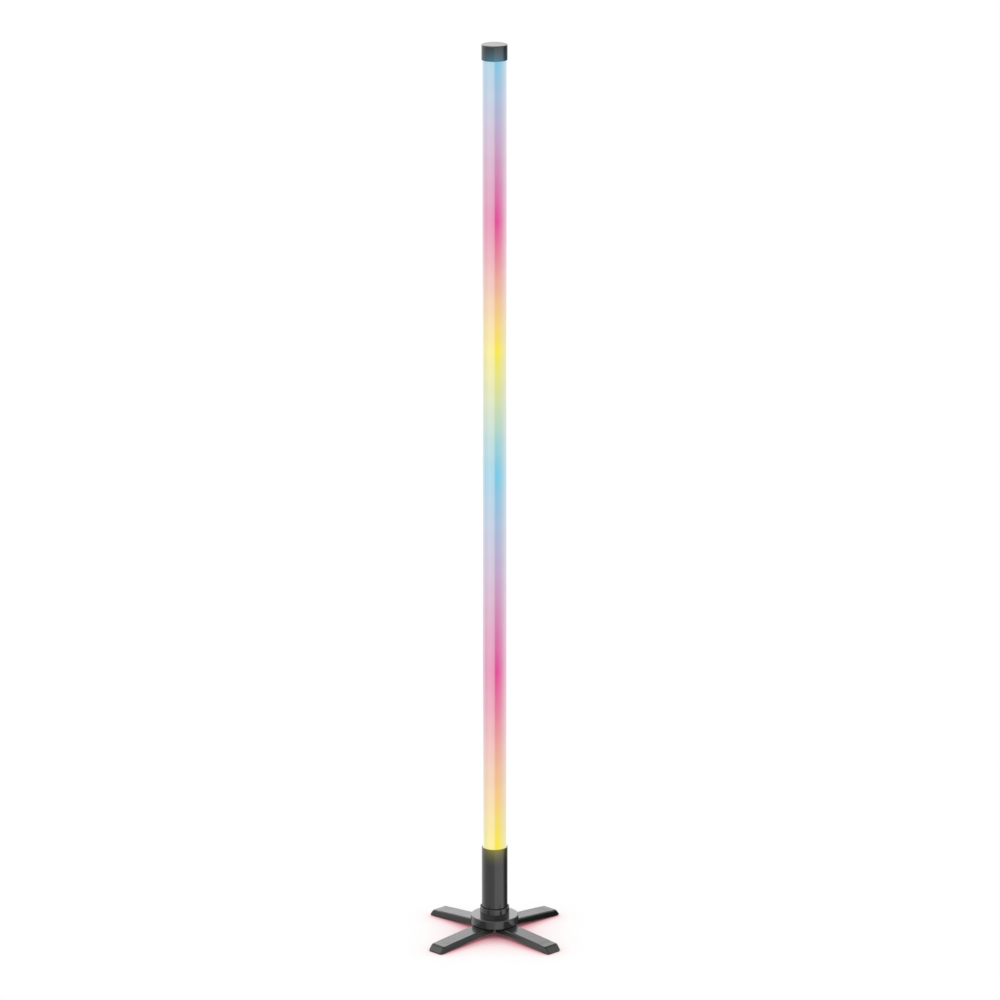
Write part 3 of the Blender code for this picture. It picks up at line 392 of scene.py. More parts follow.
class Surface:
    """A material whose Principled shader gets patterns in the part's own coordinates."""

    def __init__(self, name, roughness, metallic=0.0):
        self.material = bpy.data.materials.new(name)
        self.material.use_nodes = True
        self.tree = self.material.node_tree
        self.shader = self.tree.nodes["Principled BSDF"]
        self.shader.inputs["Roughness"].default_value = roughness
        self.shader.inputs["Metallic"].default_value = metallic
        self.place = self.tree.nodes.new("ShaderNodeTexCoord").outputs["Object"]
        self.bump = None

    def feed(self, socket, value):
        """Links another node's output to the socket, or sets a plain value."""
        if isinstance(value, bpy.types.NodeSocket):
            self.tree.links.new(value, socket)
        else:
            socket.default_value = value

    def node(self, kind, *inputs, **settings):
        """A new node with its first inputs given in order."""
        made = self.tree.nodes.new(kind)
        for name, value in settings.items():
            setattr(made, name, value)
        for socket, value in zip(made.inputs, inputs):
            self.feed(socket, value)
        return made

    def maths(self, operation, *inputs):
        return self.node("ShaderNodeMath", *inputs, operation=operation).outputs[0]

    def axes(self):
        return self.node("ShaderNodeSeparateXYZ", self.place).outputs

    def stretched(self, scale):
        """The part's coordinates scaled along each axis."""
        return self.node("ShaderNodeVectorMath", self.place, scale, operation="MULTIPLY").outputs[0]

    def noise(self, scale, detail=3.0, place=None):
        made = self.node("ShaderNodeTexNoise", place or self.place)
        made.inputs["Scale"].default_value = scale
        made.inputs["Detail"].default_value = detail
        return made.outputs["Fac"]

    def speckle(self, scale):
        made = self.node("ShaderNodeTexVoronoi", self.place)
        made.inputs["Scale"].default_value = scale
        return made.outputs["Distance"]

    def spread(self, value, low, high, from_low=0.3, from_high=0.7):
        """The value remapped and held between low and high."""
        return self.node("ShaderNodeMapRange", value, from_low, from_high, low, high).outputs[0]

    def blend(self, share, first, second):
        """A colour that goes from the first to the second as the share goes from 0 to 1."""
        made = self.node("ShaderNodeMix", data_type="RGBA")
        for name, value in (("Factor_Float", share), ("A_Color", first), ("B_Color", second)):
            socket = next(s for s in made.inputs if s.identifier == name)
            self.feed(socket, (*value, 1) if isinstance(value, tuple) else value)
        return next(s for s in made.outputs if s.identifier == "Result_Color")

    def run(self, value, stops):
        """A colour ramp through (position, colour) stops, in rising order."""
        made = self.node("ShaderNodeValToRGB", value)
        fill_ramp(made, stops)
        return made.outputs["Color"]

    def drive(self, name, value):
        self.tree.links.new(value, self.shader.inputs[name])

    def fix(self, name, value):
        self.shader.inputs[name].default_value = value

    def raise_by(self, height, distance, strength=0.4):
        """Adds a bump, on top of any that is there."""
        made = self.node("ShaderNodeBump")
        made.inputs["Strength"].default_value = strength
        made.inputs["Distance"].default_value = distance
        self.tree.links.new(height, made.inputs["Height"])
        if self.bump:
            self.tree.links.new(self.bump, made.inputs["Normal"])
        self.bump = made.outputs["Normal"]
        self.drive("Normal", self.bump)


def tinted(colour, share):
    return tuple(channel * share for channel in colour)


def moulded(name, colour, roughness, variation=0.18, grain=5200, grain_depth=0.000012):
    """Plastic with slow changes of shade from the mould, handling marks and a fine spark grain."""
    surface = Surface(name, roughness)
    cloud = surface.noise(38, 4)
    shade = surface.blend(
        surface.spread(cloud, 0, 1), tinted(colour, 1 - variation), tinted(colour, 1 + variation)
    )
    surface.drive("Base Color", shade)
    handling = surface.noise(95, 5, surface.stretched((1, 1, 0.45)))
    surface.drive("Roughness", surface.spread(handling, roughness * 0.82, roughness * 1.22))
    surface.raise_by(surface.noise(grain, 2), grain_depth, 0.35)
    surface.raise_by(surface.noise(60, 2), 0.00004, 0.12)
    return surface


def painted_edge_glow(surface, colour, full_z, dark_z, power):
    """Painted glow in a plastic piece's emission, standing in for the tube's light: full at full_z and gone at
    dark_z, strongest across the middle of the front and back.
    """
    x, _, height = surface.axes()
    share = surface.node("ShaderNodeMapRange", height, full_z, dark_z, 1.0, 0.0).outputs[0]
    fading = surface.maths("POWER", share, power)
    aside = surface.maths("POWER", surface.maths("DIVIDE", x, HANDLE_R), 2.0)
    facing = surface.maths("SUBTRACT", 1.0, surface.maths("MINIMUM", aside, 1.0))
    painted_glow_share = surface.maths("MULTIPLY", fading, facing)
    surface.drive("Emission Color", surface.blend(painted_glow_share, (0, 0, 0), colour))
    surface.fix("Emission Strength", 1.0)


def rubber(name, colour, roughness):
    surface = Surface(name, roughness)
    dust = surface.spread(surface.noise(420, 5), 0, 1, 0.45, 0.8)
    surface.drive("Base Color", surface.blend(dust, colour, tinted(colour, 1.9)))
    surface.drive("Roughness", surface.spread(surface.noise(160, 4), roughness - 0.1, roughness + 0.06))
    surface.raise_by(surface.noise(3400, 3), 0.00003, 0.5)
    return surface


def metal(name, colour, roughness, brush=(1, 1, 1), grain=900):
    """Metal with fine tool marks: brush stretches them, so a small number makes them long on that axis."""
    surface = Surface(name, roughness, metallic=1.0)
    marks = surface.noise(grain, 3, surface.stretched(brush))
    cloud = surface.noise(140, 3)
    surface.drive(
        "Base Color", surface.blend(surface.spread(cloud, 0, 1), tinted(colour, 0.88), tinted(colour, 1.04))
    )
    surface.drive("Roughness", surface.spread(marks, roughness * 0.7, roughness * 1.35))
    surface.raise_by(marks, 0.00001, 0.3)
    return surface


# ---- Materials --------------------------------------------------------------------------------------
def diffuser_material():
    """Frosted polycarbonate lit from inside by two rows of LEDs, one facing the front and one the back, with a
    painted sheen towards its sides and a painted white reflection over its left half.
    """
    surface = Surface("lit_diffuser", 0.2)
    x, _, z = surface.axes()
    along = surface.node("ShaderNodeMapRange", z, TUBE_Z, TUBE_TOP_Z, 0.0, 1.0).outputs[0]
    stops = []
    for (height, colour, blends), (next_height, *_) in zip(COLOUR_RUN, COLOUR_RUN[1:]):
        run = [colour, *blends]
        stops += [(height + (next_height - height) * i / len(run), c) for i, c in enumerate(run)]
    stops.append(COLOUR_RUN[-1][:2])
    rising = [(between(height, TUBE_Z, TUBE_TOP_Z), colour) for height, colour in reversed(stops)]
    running = surface.run(along, rising)
    side = surface.maths("DIVIDE", x, TUBE_R)
    # Towards the sides the colour dims and turns pale: partly the LED rows facing front and back, partly a painted
    # sheen of the white studio at a grazing angle
    rising_aside = surface.maths("POWER", surface.maths("ABSOLUTE", side), PALE_POWER)
    paling = surface.maths("MINIMUM", rising_aside, PALE_MOST)
    dimmed = surface.blend(surface.maths("MULTIPLY", paling, PALE_DIMMING), running, (0, 0, 0))
    white = surface.blend(paling, (0, 0, 0), PALE_SIDE)
    paled = surface.node("ShaderNodeVectorMath", dimmed, white, operation="ADD").outputs[0]
    # Painted reflection: a white band over the tube's left half and a faint one at its right edge, blended into
    # the emission colour
    across = surface.node("ShaderNodeMapRange", side, -1.0, 1.0, 0.0, 1.0).outputs[0]
    reflection_share = surface.run(across, [((place + 1) / 2, grey(share)) for place, share in REFLECTION_ACROSS])
    colour = surface.blend(reflection_share, paled, REFLECTION_WHITE)
    hot_spots = surface.maths("COSINE", surface.maths("MULTIPLY", z, 2 * pi / LED_PITCH))
    glow = surface.spread(hot_spots, 0.985, 1.0, -1.0, 1.0)
    frosting = surface.spread(surface.noise(700, 3), 0.985, 1.01)
    strength = surface.maths("MULTIPLY", glow, frosting)
    lit = surface.node("ShaderNodeVectorMath", colour, operation="SCALE")
    surface.tree.links.new(strength, lit.inputs["Scale"])
    surface.drive("Emission Color", lit.outputs[0])
    surface.fix("Emission Strength", 1.0)
    surface.fix("Base Color", (0.004, 0.004, 0.004, 1))
    surface.fix("Specular IOR Level", 0.15)
    surface.drive("Roughness", surface.spread(surface.noise(180, 3), 0.12, 0.2))
    surface.raise_by(surface.noise(2600, 3), 0.000008, 0.25)
    return surface.material


def strip_material():
    """A white flexible board with copper pads, and the LEDs' yellow phosphor in their white frames."""
    surface = Surface("led_strip", 0.45)
    x, y, z = surface.axes()
    step = surface.maths("MULTIPLY", z, 1 / LED_PITCH)
    offset = surface.maths("SUBTRACT", surface.maths("FRACT", step), 0.5)
    across = surface.maths("ABSOLUTE", x)
    depth = surface.maths("ABSOLUTE", y)
    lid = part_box("led_strip_back")[1].y - LED_FACE
    raised = surface.maths("GREATER_THAN", depth, lid)
    inner = surface.maths("LESS_THAN", across, PHOSPHOR_HALF)
    phosphor = surface.maths("MULTIPLY", raised, inner)
    pads = surface.maths(
        "MULTIPLY",
        surface.maths("GREATER_THAN", across, PAD_INNER_X),
        surface.maths("LESS_THAN", surface.maths("ABSOLUTE", offset), PAD_HALF),
    )
    mask = surface.spread(surface.noise(320, 3), 0, 1)
    white = surface.blend(mask, (0.74, 0.74, 0.72), (0.86, 0.86, 0.84))
    with_pads = surface.blend(pads, white, (0.75, 0.4, 0.2))
    surface.drive("Base Color", surface.blend(phosphor, with_pads, (0.85, 0.7, 0.12)))
    surface.drive("Roughness", surface.spread(surface.noise(500, 2), 0.35, 0.55))
    surface.raise_by(surface.noise(1500, 2), 0.00002, 0.3)
    return surface.material


def board_material():
    """Green solder mask with copper runs under it. What stands off the board is black or metal."""
    surface = Surface("circuit_board", 0.35)
    low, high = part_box("control_board")
    y = surface.axes()[1]
    runs = surface.node("ShaderNodeTexBrick", surface.stretched((1, 0, 1.6)))
    runs.inputs["Scale"].default_value = 260
    runs.inputs["Mortar Size"].default_value = 0.06
    runs.inputs["Color1"].default_value = (0.012, 0.13, 0.045, 1)
    runs.inputs["Color2"].default_value = (0.018, 0.17, 0.06, 1)
    runs.inputs["Mortar"].default_value = (0.05, 0.32, 0.12, 1)
    plunger = surface.maths("GREATER_THAN", y, high.y - PLUNGER)
    face_y, back_y = high.y - SWITCH_HEIGHT, low.y + COIL_HEIGHT
    front = surface.maths("GREATER_THAN", y, face_y + BOARD_SKIN)
    behind = surface.maths("LESS_THAN", y, back_y - BOARD_SKIN)
    parts = surface.maths("MAXIMUM", front, behind)
    cloud = surface.spread(surface.noise(900, 3), 0, 1)
    black = surface.blend(cloud, (0.015, 0.015, 0.016), (0.035, 0.035, 0.037))
    colour = surface.blend(parts, runs.outputs["Color"], black)
    surface.drive("Base Color", surface.blend(plunger, colour, (0.3, 0.3, 0.31)))
    surface.drive("Roughness", surface.spread(cloud, 0.28, 0.5, 0.0, 1.0))
    surface.raise_by(runs.outputs["Fac"], 0.00003, 0.4)
    return surface.material


def cell_material():
    """The cell's shrink sleeve, with bare metal at its upper end."""
    surface = Surface("cell_sleeve", 0.3)
    z = surface.axes()[2]
    wrinkle = surface.noise(70, 4, surface.stretched((1, 1, 4)))
    sleeve = surface.blend(surface.spread(wrinkle, 0, 1), (0.05, 0.13, 0.3), (0.08, 0.2, 0.42))
    bare = surface.maths("GREATER_THAN", z, span("battery_cell")[1] - CELL_BARE_END)
    surface.drive("Base Color", surface.blend(bare, sleeve, (0.6, 0.6, 0.62)))
    surface.drive("Metallic", bare)
    surface.drive("Roughness", surface.spread(wrinkle, 0.22, 0.4))
    surface.raise_by(wrinkle, 0.00008, 0.3)
    return surface.material


def cast_material():
    surface = metal("cast_weight", (0.16, 0.16, 0.17), 0.55)
    surface.raise_by(surface.noise(700, 5), 0.0002, 0.6)
    surface.raise_by(surface.speckle(500), 0.0001, 0.3)
    return surface.material


def clear_material():
    surface = Surface("clear_plastic", 0.12)
    haze = surface.spread(surface.noise(900, 3), 0, 1)
    surface.drive("Base Color", surface.blend(haze, (0.62, 0.68, 0.72), (0.74, 0.79, 0.82)))
    surface.drive("Roughness", surface.spread(haze, 0.08, 0.2, 0.0, 1.0))
    surface.fix("Transmission Weight", 0.35)
    surface.raise_by(surface.noise(1800, 2), 0.00001, 0.2)
    return surface.material


def make_materials():
    cap = moulded("cap_plastic", (0.007, 0.0075, 0.008), 0.2)
    # painted glow: teal towards the cap's lower rim and yellow at the top of the handle, both next to the tube
    painted_edge_glow(cap, (0.02, 0.133, 0.2), CAP_Z, CAP_TOP_Z, 1.3)
    handle = moulded("handle_plastic", (0.006, 0.0059, 0.0058), 0.17)
    painted_edge_glow(handle, (0.19, 0.168, 0.001), HANDLE_TOP_Z, HANDLE_TOP_Z - HANDLE_GLOW_DEPTH, 2.05)
    leg = moulded("leg_plastic", (0.007, 0.0068, 0.0066), 0.2, grain=4200, grain_depth=0.00002)
    leg.fix("Specular IOR Level", 0.36)
    return {
        "diffuser": diffuser_material(),
        "cap": cap.material,
        "handle": handle.material,
        "hub": moulded("hub_plastic", (0.008, 0.0079, 0.0077), 0.16).material,
        "leg": leg.material,
        "rubber": rubber("black_rubber", (0.018, 0.017, 0.016), 0.72).material,
        "button": rubber("button_rubber", (0.02, 0.02, 0.021), 0.5).material,
        "white": moulded("white_plastic", (0.7, 0.7, 0.68), 0.42, variation=0.05).material,
        "aluminium": metal("aluminium_bar", (0.78, 0.79, 0.8), 0.3, brush=(1, 1, 0.02)).material,
        "steel": metal("bright_steel", (0.56, 0.57, 0.59), 0.26, brush=(1, 1, 0.3)).material,
        "black_steel": metal("black_steel", (0.05, 0.05, 0.055), 0.38, brush=(0.1, 1, 1)).material,
        "brass": metal("brass", (0.82, 0.62, 0.28), 0.28).material,
        "weight": cast_material(),
        "strip": strip_material(),
        "board": board_material(),
        "cell": cell_material(),
        "red": moulded("red_insulation", (0.5, 0.02, 0.015), 0.38, variation=0.1).material,
        "black": moulded("black_insulation", (0.02, 0.02, 0.02), 0.38).material,
        "clear": clear_material(),
    }


# ---- Lit tube ---------------------------------------------------------------------------------------
def make_diffuser(material):
    bore = TUBE_R - TUBE_WALL
    profile = [(bore, TUBE_Z), (TUBE_R, TUBE_Z), (TUBE_R, TUBE_TOP_Z), (bore, TUBE_TOP_Z)]
    lips = {corner: TUBE_LIP for corner in range(4)}
    obj = new_object("diffuser", turned(rounded(profile, lips, 3)))
    finish_piece(obj, "diffuser_tube", material)


def make_cap(material):
    """A cup with a rounded shoulder and a fine lip round its open end."""
    lid_z = CAP_TOP_Z - CAP_LID
    profile = [
        (0, lid_z),
        (TUBE_SEAT_R, lid_z),
        (TUBE_SEAT_R, CAP_Z),
        (CAP_R, CAP_Z),
        (CAP_R, CAP_TOP_Z),
        (0, CAP_TOP_Z),
    ]
    edges = {2: CAP_RIM_EDGE, 3: CAP_RIM_EDGE, 4: CAP_EDGE}
    obj = new_object("cap", turned(rounded(profile, edges, 8)))
    finish_piece(obj, "top_cap", material)


# ---- Handle -----------------------------------------------------------------------------------------
def usb_opening(inside, outside):
    length, width = USB_LENGTH + 2 * GAP, USB_WIDTH + 2 * GAP
    corner = width / 2 * 0.98  # just under half, so that no two points of the outline meet
    outline = rounded_rectangle(-length / 2, length / 2, width / 2, corner)
    shape = loft([[(x, y, along) for x, y in outline] for along in (inside, outside)])
    moved(shape, Matrix.Rotation(radians(90), 4, "Z"))
    return facing_back(shape, middle("usb_socket")[2])


def make_handle(material):
    """The shell, with the openings for its buttons, its status light and its charging socket."""
    profile = [
        (SHELL_BORE_R, SHELL_Z),
        (HANDLE_R, SHELL_Z),
        (HANDLE_R, HANDLE_TOP_Z),
        (TUBE_SEAT_R, HANDLE_TOP_Z),
        (TUBE_SEAT_R, SHOULDER_Z),
        (SHELL_BORE_R, SHOULDER_Z),
    ]
    edges = {1: HANDLE_EDGE / 2, 2: HANDLE_EDGE, 3: HANDLE_EDGE / 2}
    obj = new_object("handle", turned(rounded(profile, edges)))
    inside, outside = HANDLE_R * 0.7, HANDLE_R * 1.2
    openings = [
        facing_back(rod(BUTTON_R + GAP, inside, outside), middle("power_button")[2]),
        facing_back(rod(BUTTON_R + GAP, inside, outside), middle("mode_button")[2]),
        facing_back(rod(STATUS_R + GAP, inside, outside, sides=32), middle("status_light_pipe")[2]),
        usb_opening(inside, outside),
    ]
    combine(obj, gathered(openings))
    finish_piece(obj, "handle_shell", material)


def make_end_cap(material):
    """The handle's lower end, with a stud underneath and a spigot that goes up into the shell."""
    handle_z = LINER_Z + LINER_FLOOR + GAP
    spigot_r = SHELL_BORE_R - GAP
    profile = [
        (0, END_CAP_Z),
        (STUD_R, END_CAP_Z),
        (STUD_R, handle_z),
        (HANDLE_R, handle_z),
        (HANDLE_R, END_FLANGE_Z),
        (spigot_r, END_FLANGE_Z),
        (spigot_r, END_CAP_TOP_Z),
        (0, END_CAP_TOP_Z),
    ]
    edges = {1: STUD_EDGE, 3: HANDLE_EDGE, 4: HANDLE_EDGE / 2}
    obj = new_object("end_cap", turned(rounded(profile, edges)))
    head_r, head = SMALL_HEAD_R["end_cap_screw"], SMALL_HEAD["end_cap_screw"]
    holes = []
    for node in ("end_cap_screw_1", "end_cap_screw_2"):
        x, y, _ = middle(node)
        holes.append(rod(head_r + GAP, handle_z - GAP, span(node)[0] + head + GAP, (x, y)))
    combine(obj, gathered(holes))
    finish_piece(obj, "handle_end_cap", material)


def button_mesh(front, flange, mark):
    """A push button made along Z: a dished face with a raised generic mark, a ring or a dot."""
    edge_start = front - BUTTON_EDGE
    side = [
        (0, flange),
        (BUTTON_R + BUTTON_FLANGE, flange),
        (BUTTON_R + BUTTON_FLANGE, flange + BUTTON_FLANGE_THICK),
        (BUTTON_R, flange + BUTTON_FLANGE_THICK),
        *arc((BUTTON_R - BUTTON_EDGE, edge_start), BUTTON_EDGE, 0, 90, 6),
    ]
    rim = BUTTON_R - BUTTON_EDGE
    outer, inner = MARK_R, MARK_R - MARK_WIDTH
    if mark == "dot":
        outer, inner = MARK_R / 2, 0
    steps = 6
    dish = []
    for i in range(1, steps + 1):
        r = rim + (outer + MARK_WIDTH - rim) * i / steps
        dish.append((r, front - DISH * (1 - (r / rim) ** 2)))
    floor = front - DISH
    raised = floor + DISH * MARK_HEIGHT
    dish += [(outer, floor), (outer - MARK_WIDTH / 4, raised)]
    if inner:
        dish += [(inner + MARK_WIDTH / 4, raised), (inner, floor), (0, floor)]
    else:
        dish.append((0, raised))
    return turned(side + dish, SMALL_ROUND)


def make_buttons(material):
    for node, mark in (("power_button", "ring"), ("mode_button", "dot")):
        low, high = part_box(node)
        bm = facing_back(button_mesh(high.y, low.y, mark), middle(node)[2])
        finish_piece(new_object(node, bm), node, material)


def make_light_pipe(material):
    low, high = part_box("status_light_pipe")
    shoulder = high.y - STATUS_R / 3
    profile = [
        (0, low.y),
        (STATUS_R, low.y),
        (STATUS_R, shoulder),
        *arc((0, shoulder), STATUS_R, 0, 90, 6)[1:],
    ]
    domed = [(r, min(z, shoulder + (z - shoulder) / 3)) for r, z in profile]
    bm = facing_back(turned(domed, 32), middle("status_light_pipe")[2])
    finish_piece(new_object("light_pipe", bm), "status_light_pipe", material)


# ---- Base -------------------------------------------------------------------------------------------
def make_hub(material):
    """The disc and its collar, with a small fillet where they meet and a floor under the socket."""
    profile = [
        (STUD_HOLE_R, HUB_ROOF_Z),
        (HUB_R - HUB_WALL, HUB_ROOF_Z),
        (HUB_R - HUB_WALL, HUB_Z),
        (HUB_R, HUB_Z),
        (HUB_R, HUB_TOP_Z),
        (COLLAR_R, HUB_TOP_Z),
        (COLLAR_R, COLLAR_TOP_Z),
        (SOCKET_R, COLLAR_TOP_Z),
        (SOCKET_R, SOCKET_Z),
        (STUD_HOLE_R, SOCKET_Z),
    ]
    edges = {3: GAP, 4: HUB_EDGE, 5: FILLET, 6: COLLAR_EDGE, 7: GAP / 2}
    obj = new_object("hub", turned(rounded(profile, edges, 7)))
    finish_piece(obj, "hub_cover", material)


def make_liner(material):
    bore = LINER_R - LINER_WALL
    floor_z = LINER_Z + LINER_FLOOR
    profile = [
        (STUD_HOLE_R, LINER_Z),
        (LINER_R, LINER_Z),
        (LINER_R, LINER_TOP_Z),
        (bore, LINER_TOP_Z),
        (bore, floor_z),
        (STUD_HOLE_R, floor_z),
    ]
    edges = {1: GAP, 2: GAP, 3: GAP}
    obj = new_object("liner", turned(rounded(profile, edges)))
    finish_piece(obj, "socket_liner", material)


def screw_places():
    """Where each screw under the base stands: (node, x, y)."""
    places = []
    for node in frame["nodes"]:
        if node.startswith(("cover_screw", "pivot_screw")):
            x, y, _ = middle(node)
            places.append((node, x, y))
    return places


def make_plate(material):
    profile = [(0, PLATE_Z), (PLATE_R, PLATE_Z), (PLATE_R, PLATE_TOP_Z), (0, PLATE_TOP_Z)]
    obj = new_object("plate", turned(rounded(profile, {1: GAP, 2: GAP}, 3)))
    holes = []
    for node, x, y in screw_places():
        if node.startswith("cover"):
            radius, depth = SMALL_HEAD_R["cover_screw"], COVER_SCREW_HOLE
        else:
            radius, depth = PIVOT_THREAD_R, PIVOT_SCREW_HOLE
        holes.append(rod(radius + GAP, PLATE_Z - GAP, PLATE_Z + depth, (x, y), 32))
    combine(obj, gathered(holes))
    finish_piece(obj, "hub_base_plate", material)


def cross_recess(radius, depth):
    """A cross for a screwdriver, cut up into a head that faces down."""
    arm = radius * CROSS_ARM
    reach = radius * CROSS_REACH
    corners = []
    for quarter in range(4):
        turn = Matrix.Rotation(radians(90 * quarter), 2)
        corners += [tuple(turn @ Vector(p)) for p in ((reach, -arm), (reach, arm), (arm, arm))]
    rings = []
    for z, share in ((-depth * CUTTER_START, 1.0), (depth, CROSS_TAPER)):
        rings.append([(x * share, y * share, z) for x, y in corners])
    return loft(rings)


def hex_recess(radius, depth):
    return rod(radius * HEX_REACH, -depth * CUTTER_START, depth, sides=6)


def ribbed(radius, low, high, pitch, depth):
    """The (radius, z) outline of a thread, drawn as rings, from its low end to its high end."""
    points = []
    count = int((high - low) / pitch)
    for i in range(count):
        z = low + i * pitch
        points += [(radius - depth, z), (radius, z + pitch / 2)]
    points.append((radius - depth, low + count * pitch))
    return points


def make_small_screws(material):
    for node in frame["nodes"]:
        kind = node.rpartition("_")[0]
        if kind not in SMALL_HEAD_R:
            continue
        x, y, _ = middle(node)
        low_z, high_z, _ = span(node)
        head_r, head, shank_r = SMALL_HEAD_R[kind], SMALL_HEAD[kind], SMALL_SHANK_R[kind]
        length = high_z - low_z
        thread = ribbed(shank_r, head + GAP, length - GAP, SMALL_THREAD_PITCH, SMALL_THREAD_DEPTH)
        profile = [
            (0, 0),
            (head_r - SCREW_EDGE, 0),
            (head_r, SCREW_EDGE),
            (head_r, head),
            (shank_r, head),
            *thread,
            (0, length),
        ]
        obj = new_object(node, turned(profile, 48))
        combine(obj, cross_recess(head_r, head * CROSS_DEPTH))
        obj.data.transform(Matrix.Translation((x, y, low_z)))
        finish_piece(obj, node, material)


def make_pivot_screws(material):
    """Shoulder screws with a hex socket: the legs turn on the shoulder."""
    for node in frame["nodes"]:
        if not node.startswith("pivot_screw"):
            continue
        x, y, _ = middle(node)
        low_z, high_z, _ = span(node)
        thread_z = HUB_Z - GAP
        head_top = low_z + PIVOT_HEAD
        profile = [
            (0, low_z),
            (PIVOT_HEAD_R - SCREW_EDGE, low_z),
            (PIVOT_HEAD_R, low_z + SCREW_EDGE),
            (PIVOT_HEAD_R, head_top),
            (PIVOT_R, head_top),
            (PIVOT_R, thread_z),
            *ribbed(PIVOT_THREAD_R, thread_z, high_z - GAP, PIVOT_THREAD_PITCH, PIVOT_THREAD_DEPTH),
            (0, high_z),
        ]
        obj = new_object(node, turned(profile, SMALL_ROUND))
        combine(obj, moved(hex_recess(PIVOT_HEAD_R, HEX_DEPTH), Matrix.Translation((0, 0, low_z))))
        obj.data.transform(Matrix.Translation((x, y, 0)))
        finish_piece(obj, node, material)


# ---- Legs -------------------------------------------------------------------------------------------
def leg_top_z(along):
    drop = LEG_TOP_Z - LEG_TIP_TOP
    return LEG_TOP_Z - drop * between(along, LEG_FLAT_TOP, LEG_LENGTH - LEG_TIP_RAKE)


def leg_under_z(along):
    drop = LEG_LIFT - LEG_TIP_UNDER_Z
    return LEG_LIFT - drop * between(along, LEG_FLAT_UNDER, SOLE_START)


def leg_half_outline():
    """(point, outward direction) pairs in plan, from the back of the knuckle round one side to the tip."""
    half = LEG_WIDTH / 2
    points = []
    for degrees in range(180, 89, -6):
        out = Vector((cos(radians(degrees)), sin(radians(degrees))))
        points.append((out * half, out))
    # a pair of points close to each bend keeps it crisp
    straight = [LEG_FLAT_TOP * 0.99, LEG_FLAT_TOP * 1.01, LEG_FLAT_UNDER * 0.99, LEG_FLAT_UNDER * 1.01]
    rake_start = LEG_LENGTH - 2 * SOLE_LENGTH
    straight += [rake_start * share for share in (0.5, 0.75, 1)]
    straight += [SOLE_START * 0.995, SOLE_START * 1.005]
    for along in straight:
        points.append((Vector((along, half)), Vector((0, 1))))
    corner = Vector((LEG_LENGTH - LEG_TIP_CORNER, half - LEG_TIP_CORNER))
    for degrees in range(90, -1, -10):
        out = Vector((cos(radians(degrees)), sin(radians(degrees))))
        points.append((corner + out * LEG_TIP_CORNER, out))
    return points


def leg_layers():
    """(inset, whether it follows the top, offset in z) for each ring, from the underside to the top."""
    layers = []
    for degrees in range(90, -1, -18):
        inset = LEG_UNDER_EDGE * (1 - cos(radians(degrees)))
        layers.append((inset, False, LEG_UNDER_EDGE * (1 - sin(radians(degrees)))))
    for degrees in range(0, 91, 15):
        inset = LEG_TOP_EDGE * (1 - cos(radians(degrees)))
        layers.append((inset, True, LEG_TOP_EDGE * (sin(radians(degrees)) - 1)))
    return layers


def leg_mesh():
    """One leg along +X from its pivot at the origin, in height as it stands."""
    half = leg_half_outline()
    mirrored = [(Vector((p.x, -p.y)), Vector((n.x, -n.y))) for p, n in reversed(half[1:-1])]
    outline = half + mirrored
    rake_start, rake_end = LEG_LENGTH - 2 * SOLE_LENGTH, LEG_LENGTH - LEG_TIP_CORNER
    bm = bmesh.new()
    rings = []
    for inset, at_top, offset in leg_layers():
        ring = []
        for point, out in outline:
            plan = point - out * inset
            height = (leg_top_z(plan.x) if at_top else leg_under_z(plan.x)) + offset
            rise = (height - LEG_TIP_UNDER_Z) / (LEG_TIP_TOP - LEG_TIP_UNDER_Z)
            rake = LEG_TIP_RAKE * rise * between(plan.x, rake_start, rake_end)
            ring.append(bm.verts.new((plan.x - rake, plan.y, height)))
        rings.append(ring)
    count = len(outline)
    for lower, upper in zip(rings, rings[1:]):
        for i in range(count):
            j = (i + 1) % count
            bm.faces.new((lower[i], lower[j], upper[j], upper[i]))
    for ring in (rings[0], rings[-1]):
        bm.faces.new((ring[0], ring[1], ring[-1]))
        for i in range(1, len(half) - 2):
            bm.faces.new((ring[i], ring[i + 1], ring[-i - 1], ring[-i]))
        tip = len(half) - 2
        bm.faces.new((ring[tip], ring[tip + 1], ring[tip + 2]))
    bmesh.ops.triangulate(bm, faces=[face for face in bm.faces if len(face.verts) > 3])
    return bm


def key_outline(extra):
    """The plan of the key on a sole, or of its pocket in the leg, which is larger by extra all round."""
    centre = (SOLE_START + SOLE_END) / 2
    reach = SOLE_KEY_LENGTH / 2 + extra
    return rounded_rectangle(centre - reach, centre + reach, SOLE_KEY_WIDTH / 2 + extra, SOLE_KEY_LENGTH / 5)


def leg_cutters():
    """The stepped hole for the pivot screw and its washer, and the pocket for the sole's key."""
    head_top = LEG_LIFT + PIVOT_HEAD_SINK + PIVOT_HEAD + GAP
    steps = [
        (0, LEG_LIFT - GAP * 4),
        (PIVOT_HEAD_R + GAP, LEG_LIFT - GAP * 4),
        (PIVOT_HEAD_R + GAP, head_top),
        (PIVOT_HOLE_R, head_top),
        (PIVOT_HOLE_R, WASHER_Z - GAP),
        (WASHER_R + GAP, WASHER_Z - GAP),
        (WASHER_R + GAP, LEG_TOP_Z + GAP),
        (0, LEG_TOP_Z + GAP),
    ]
    pocket = loft([[(x, y, z) for x, y in key_outline(GAP)] for z in (0, SOLE_TOP_Z + GAP)])
    return gathered([turned(steps, SMALL_ROUND), pocket])


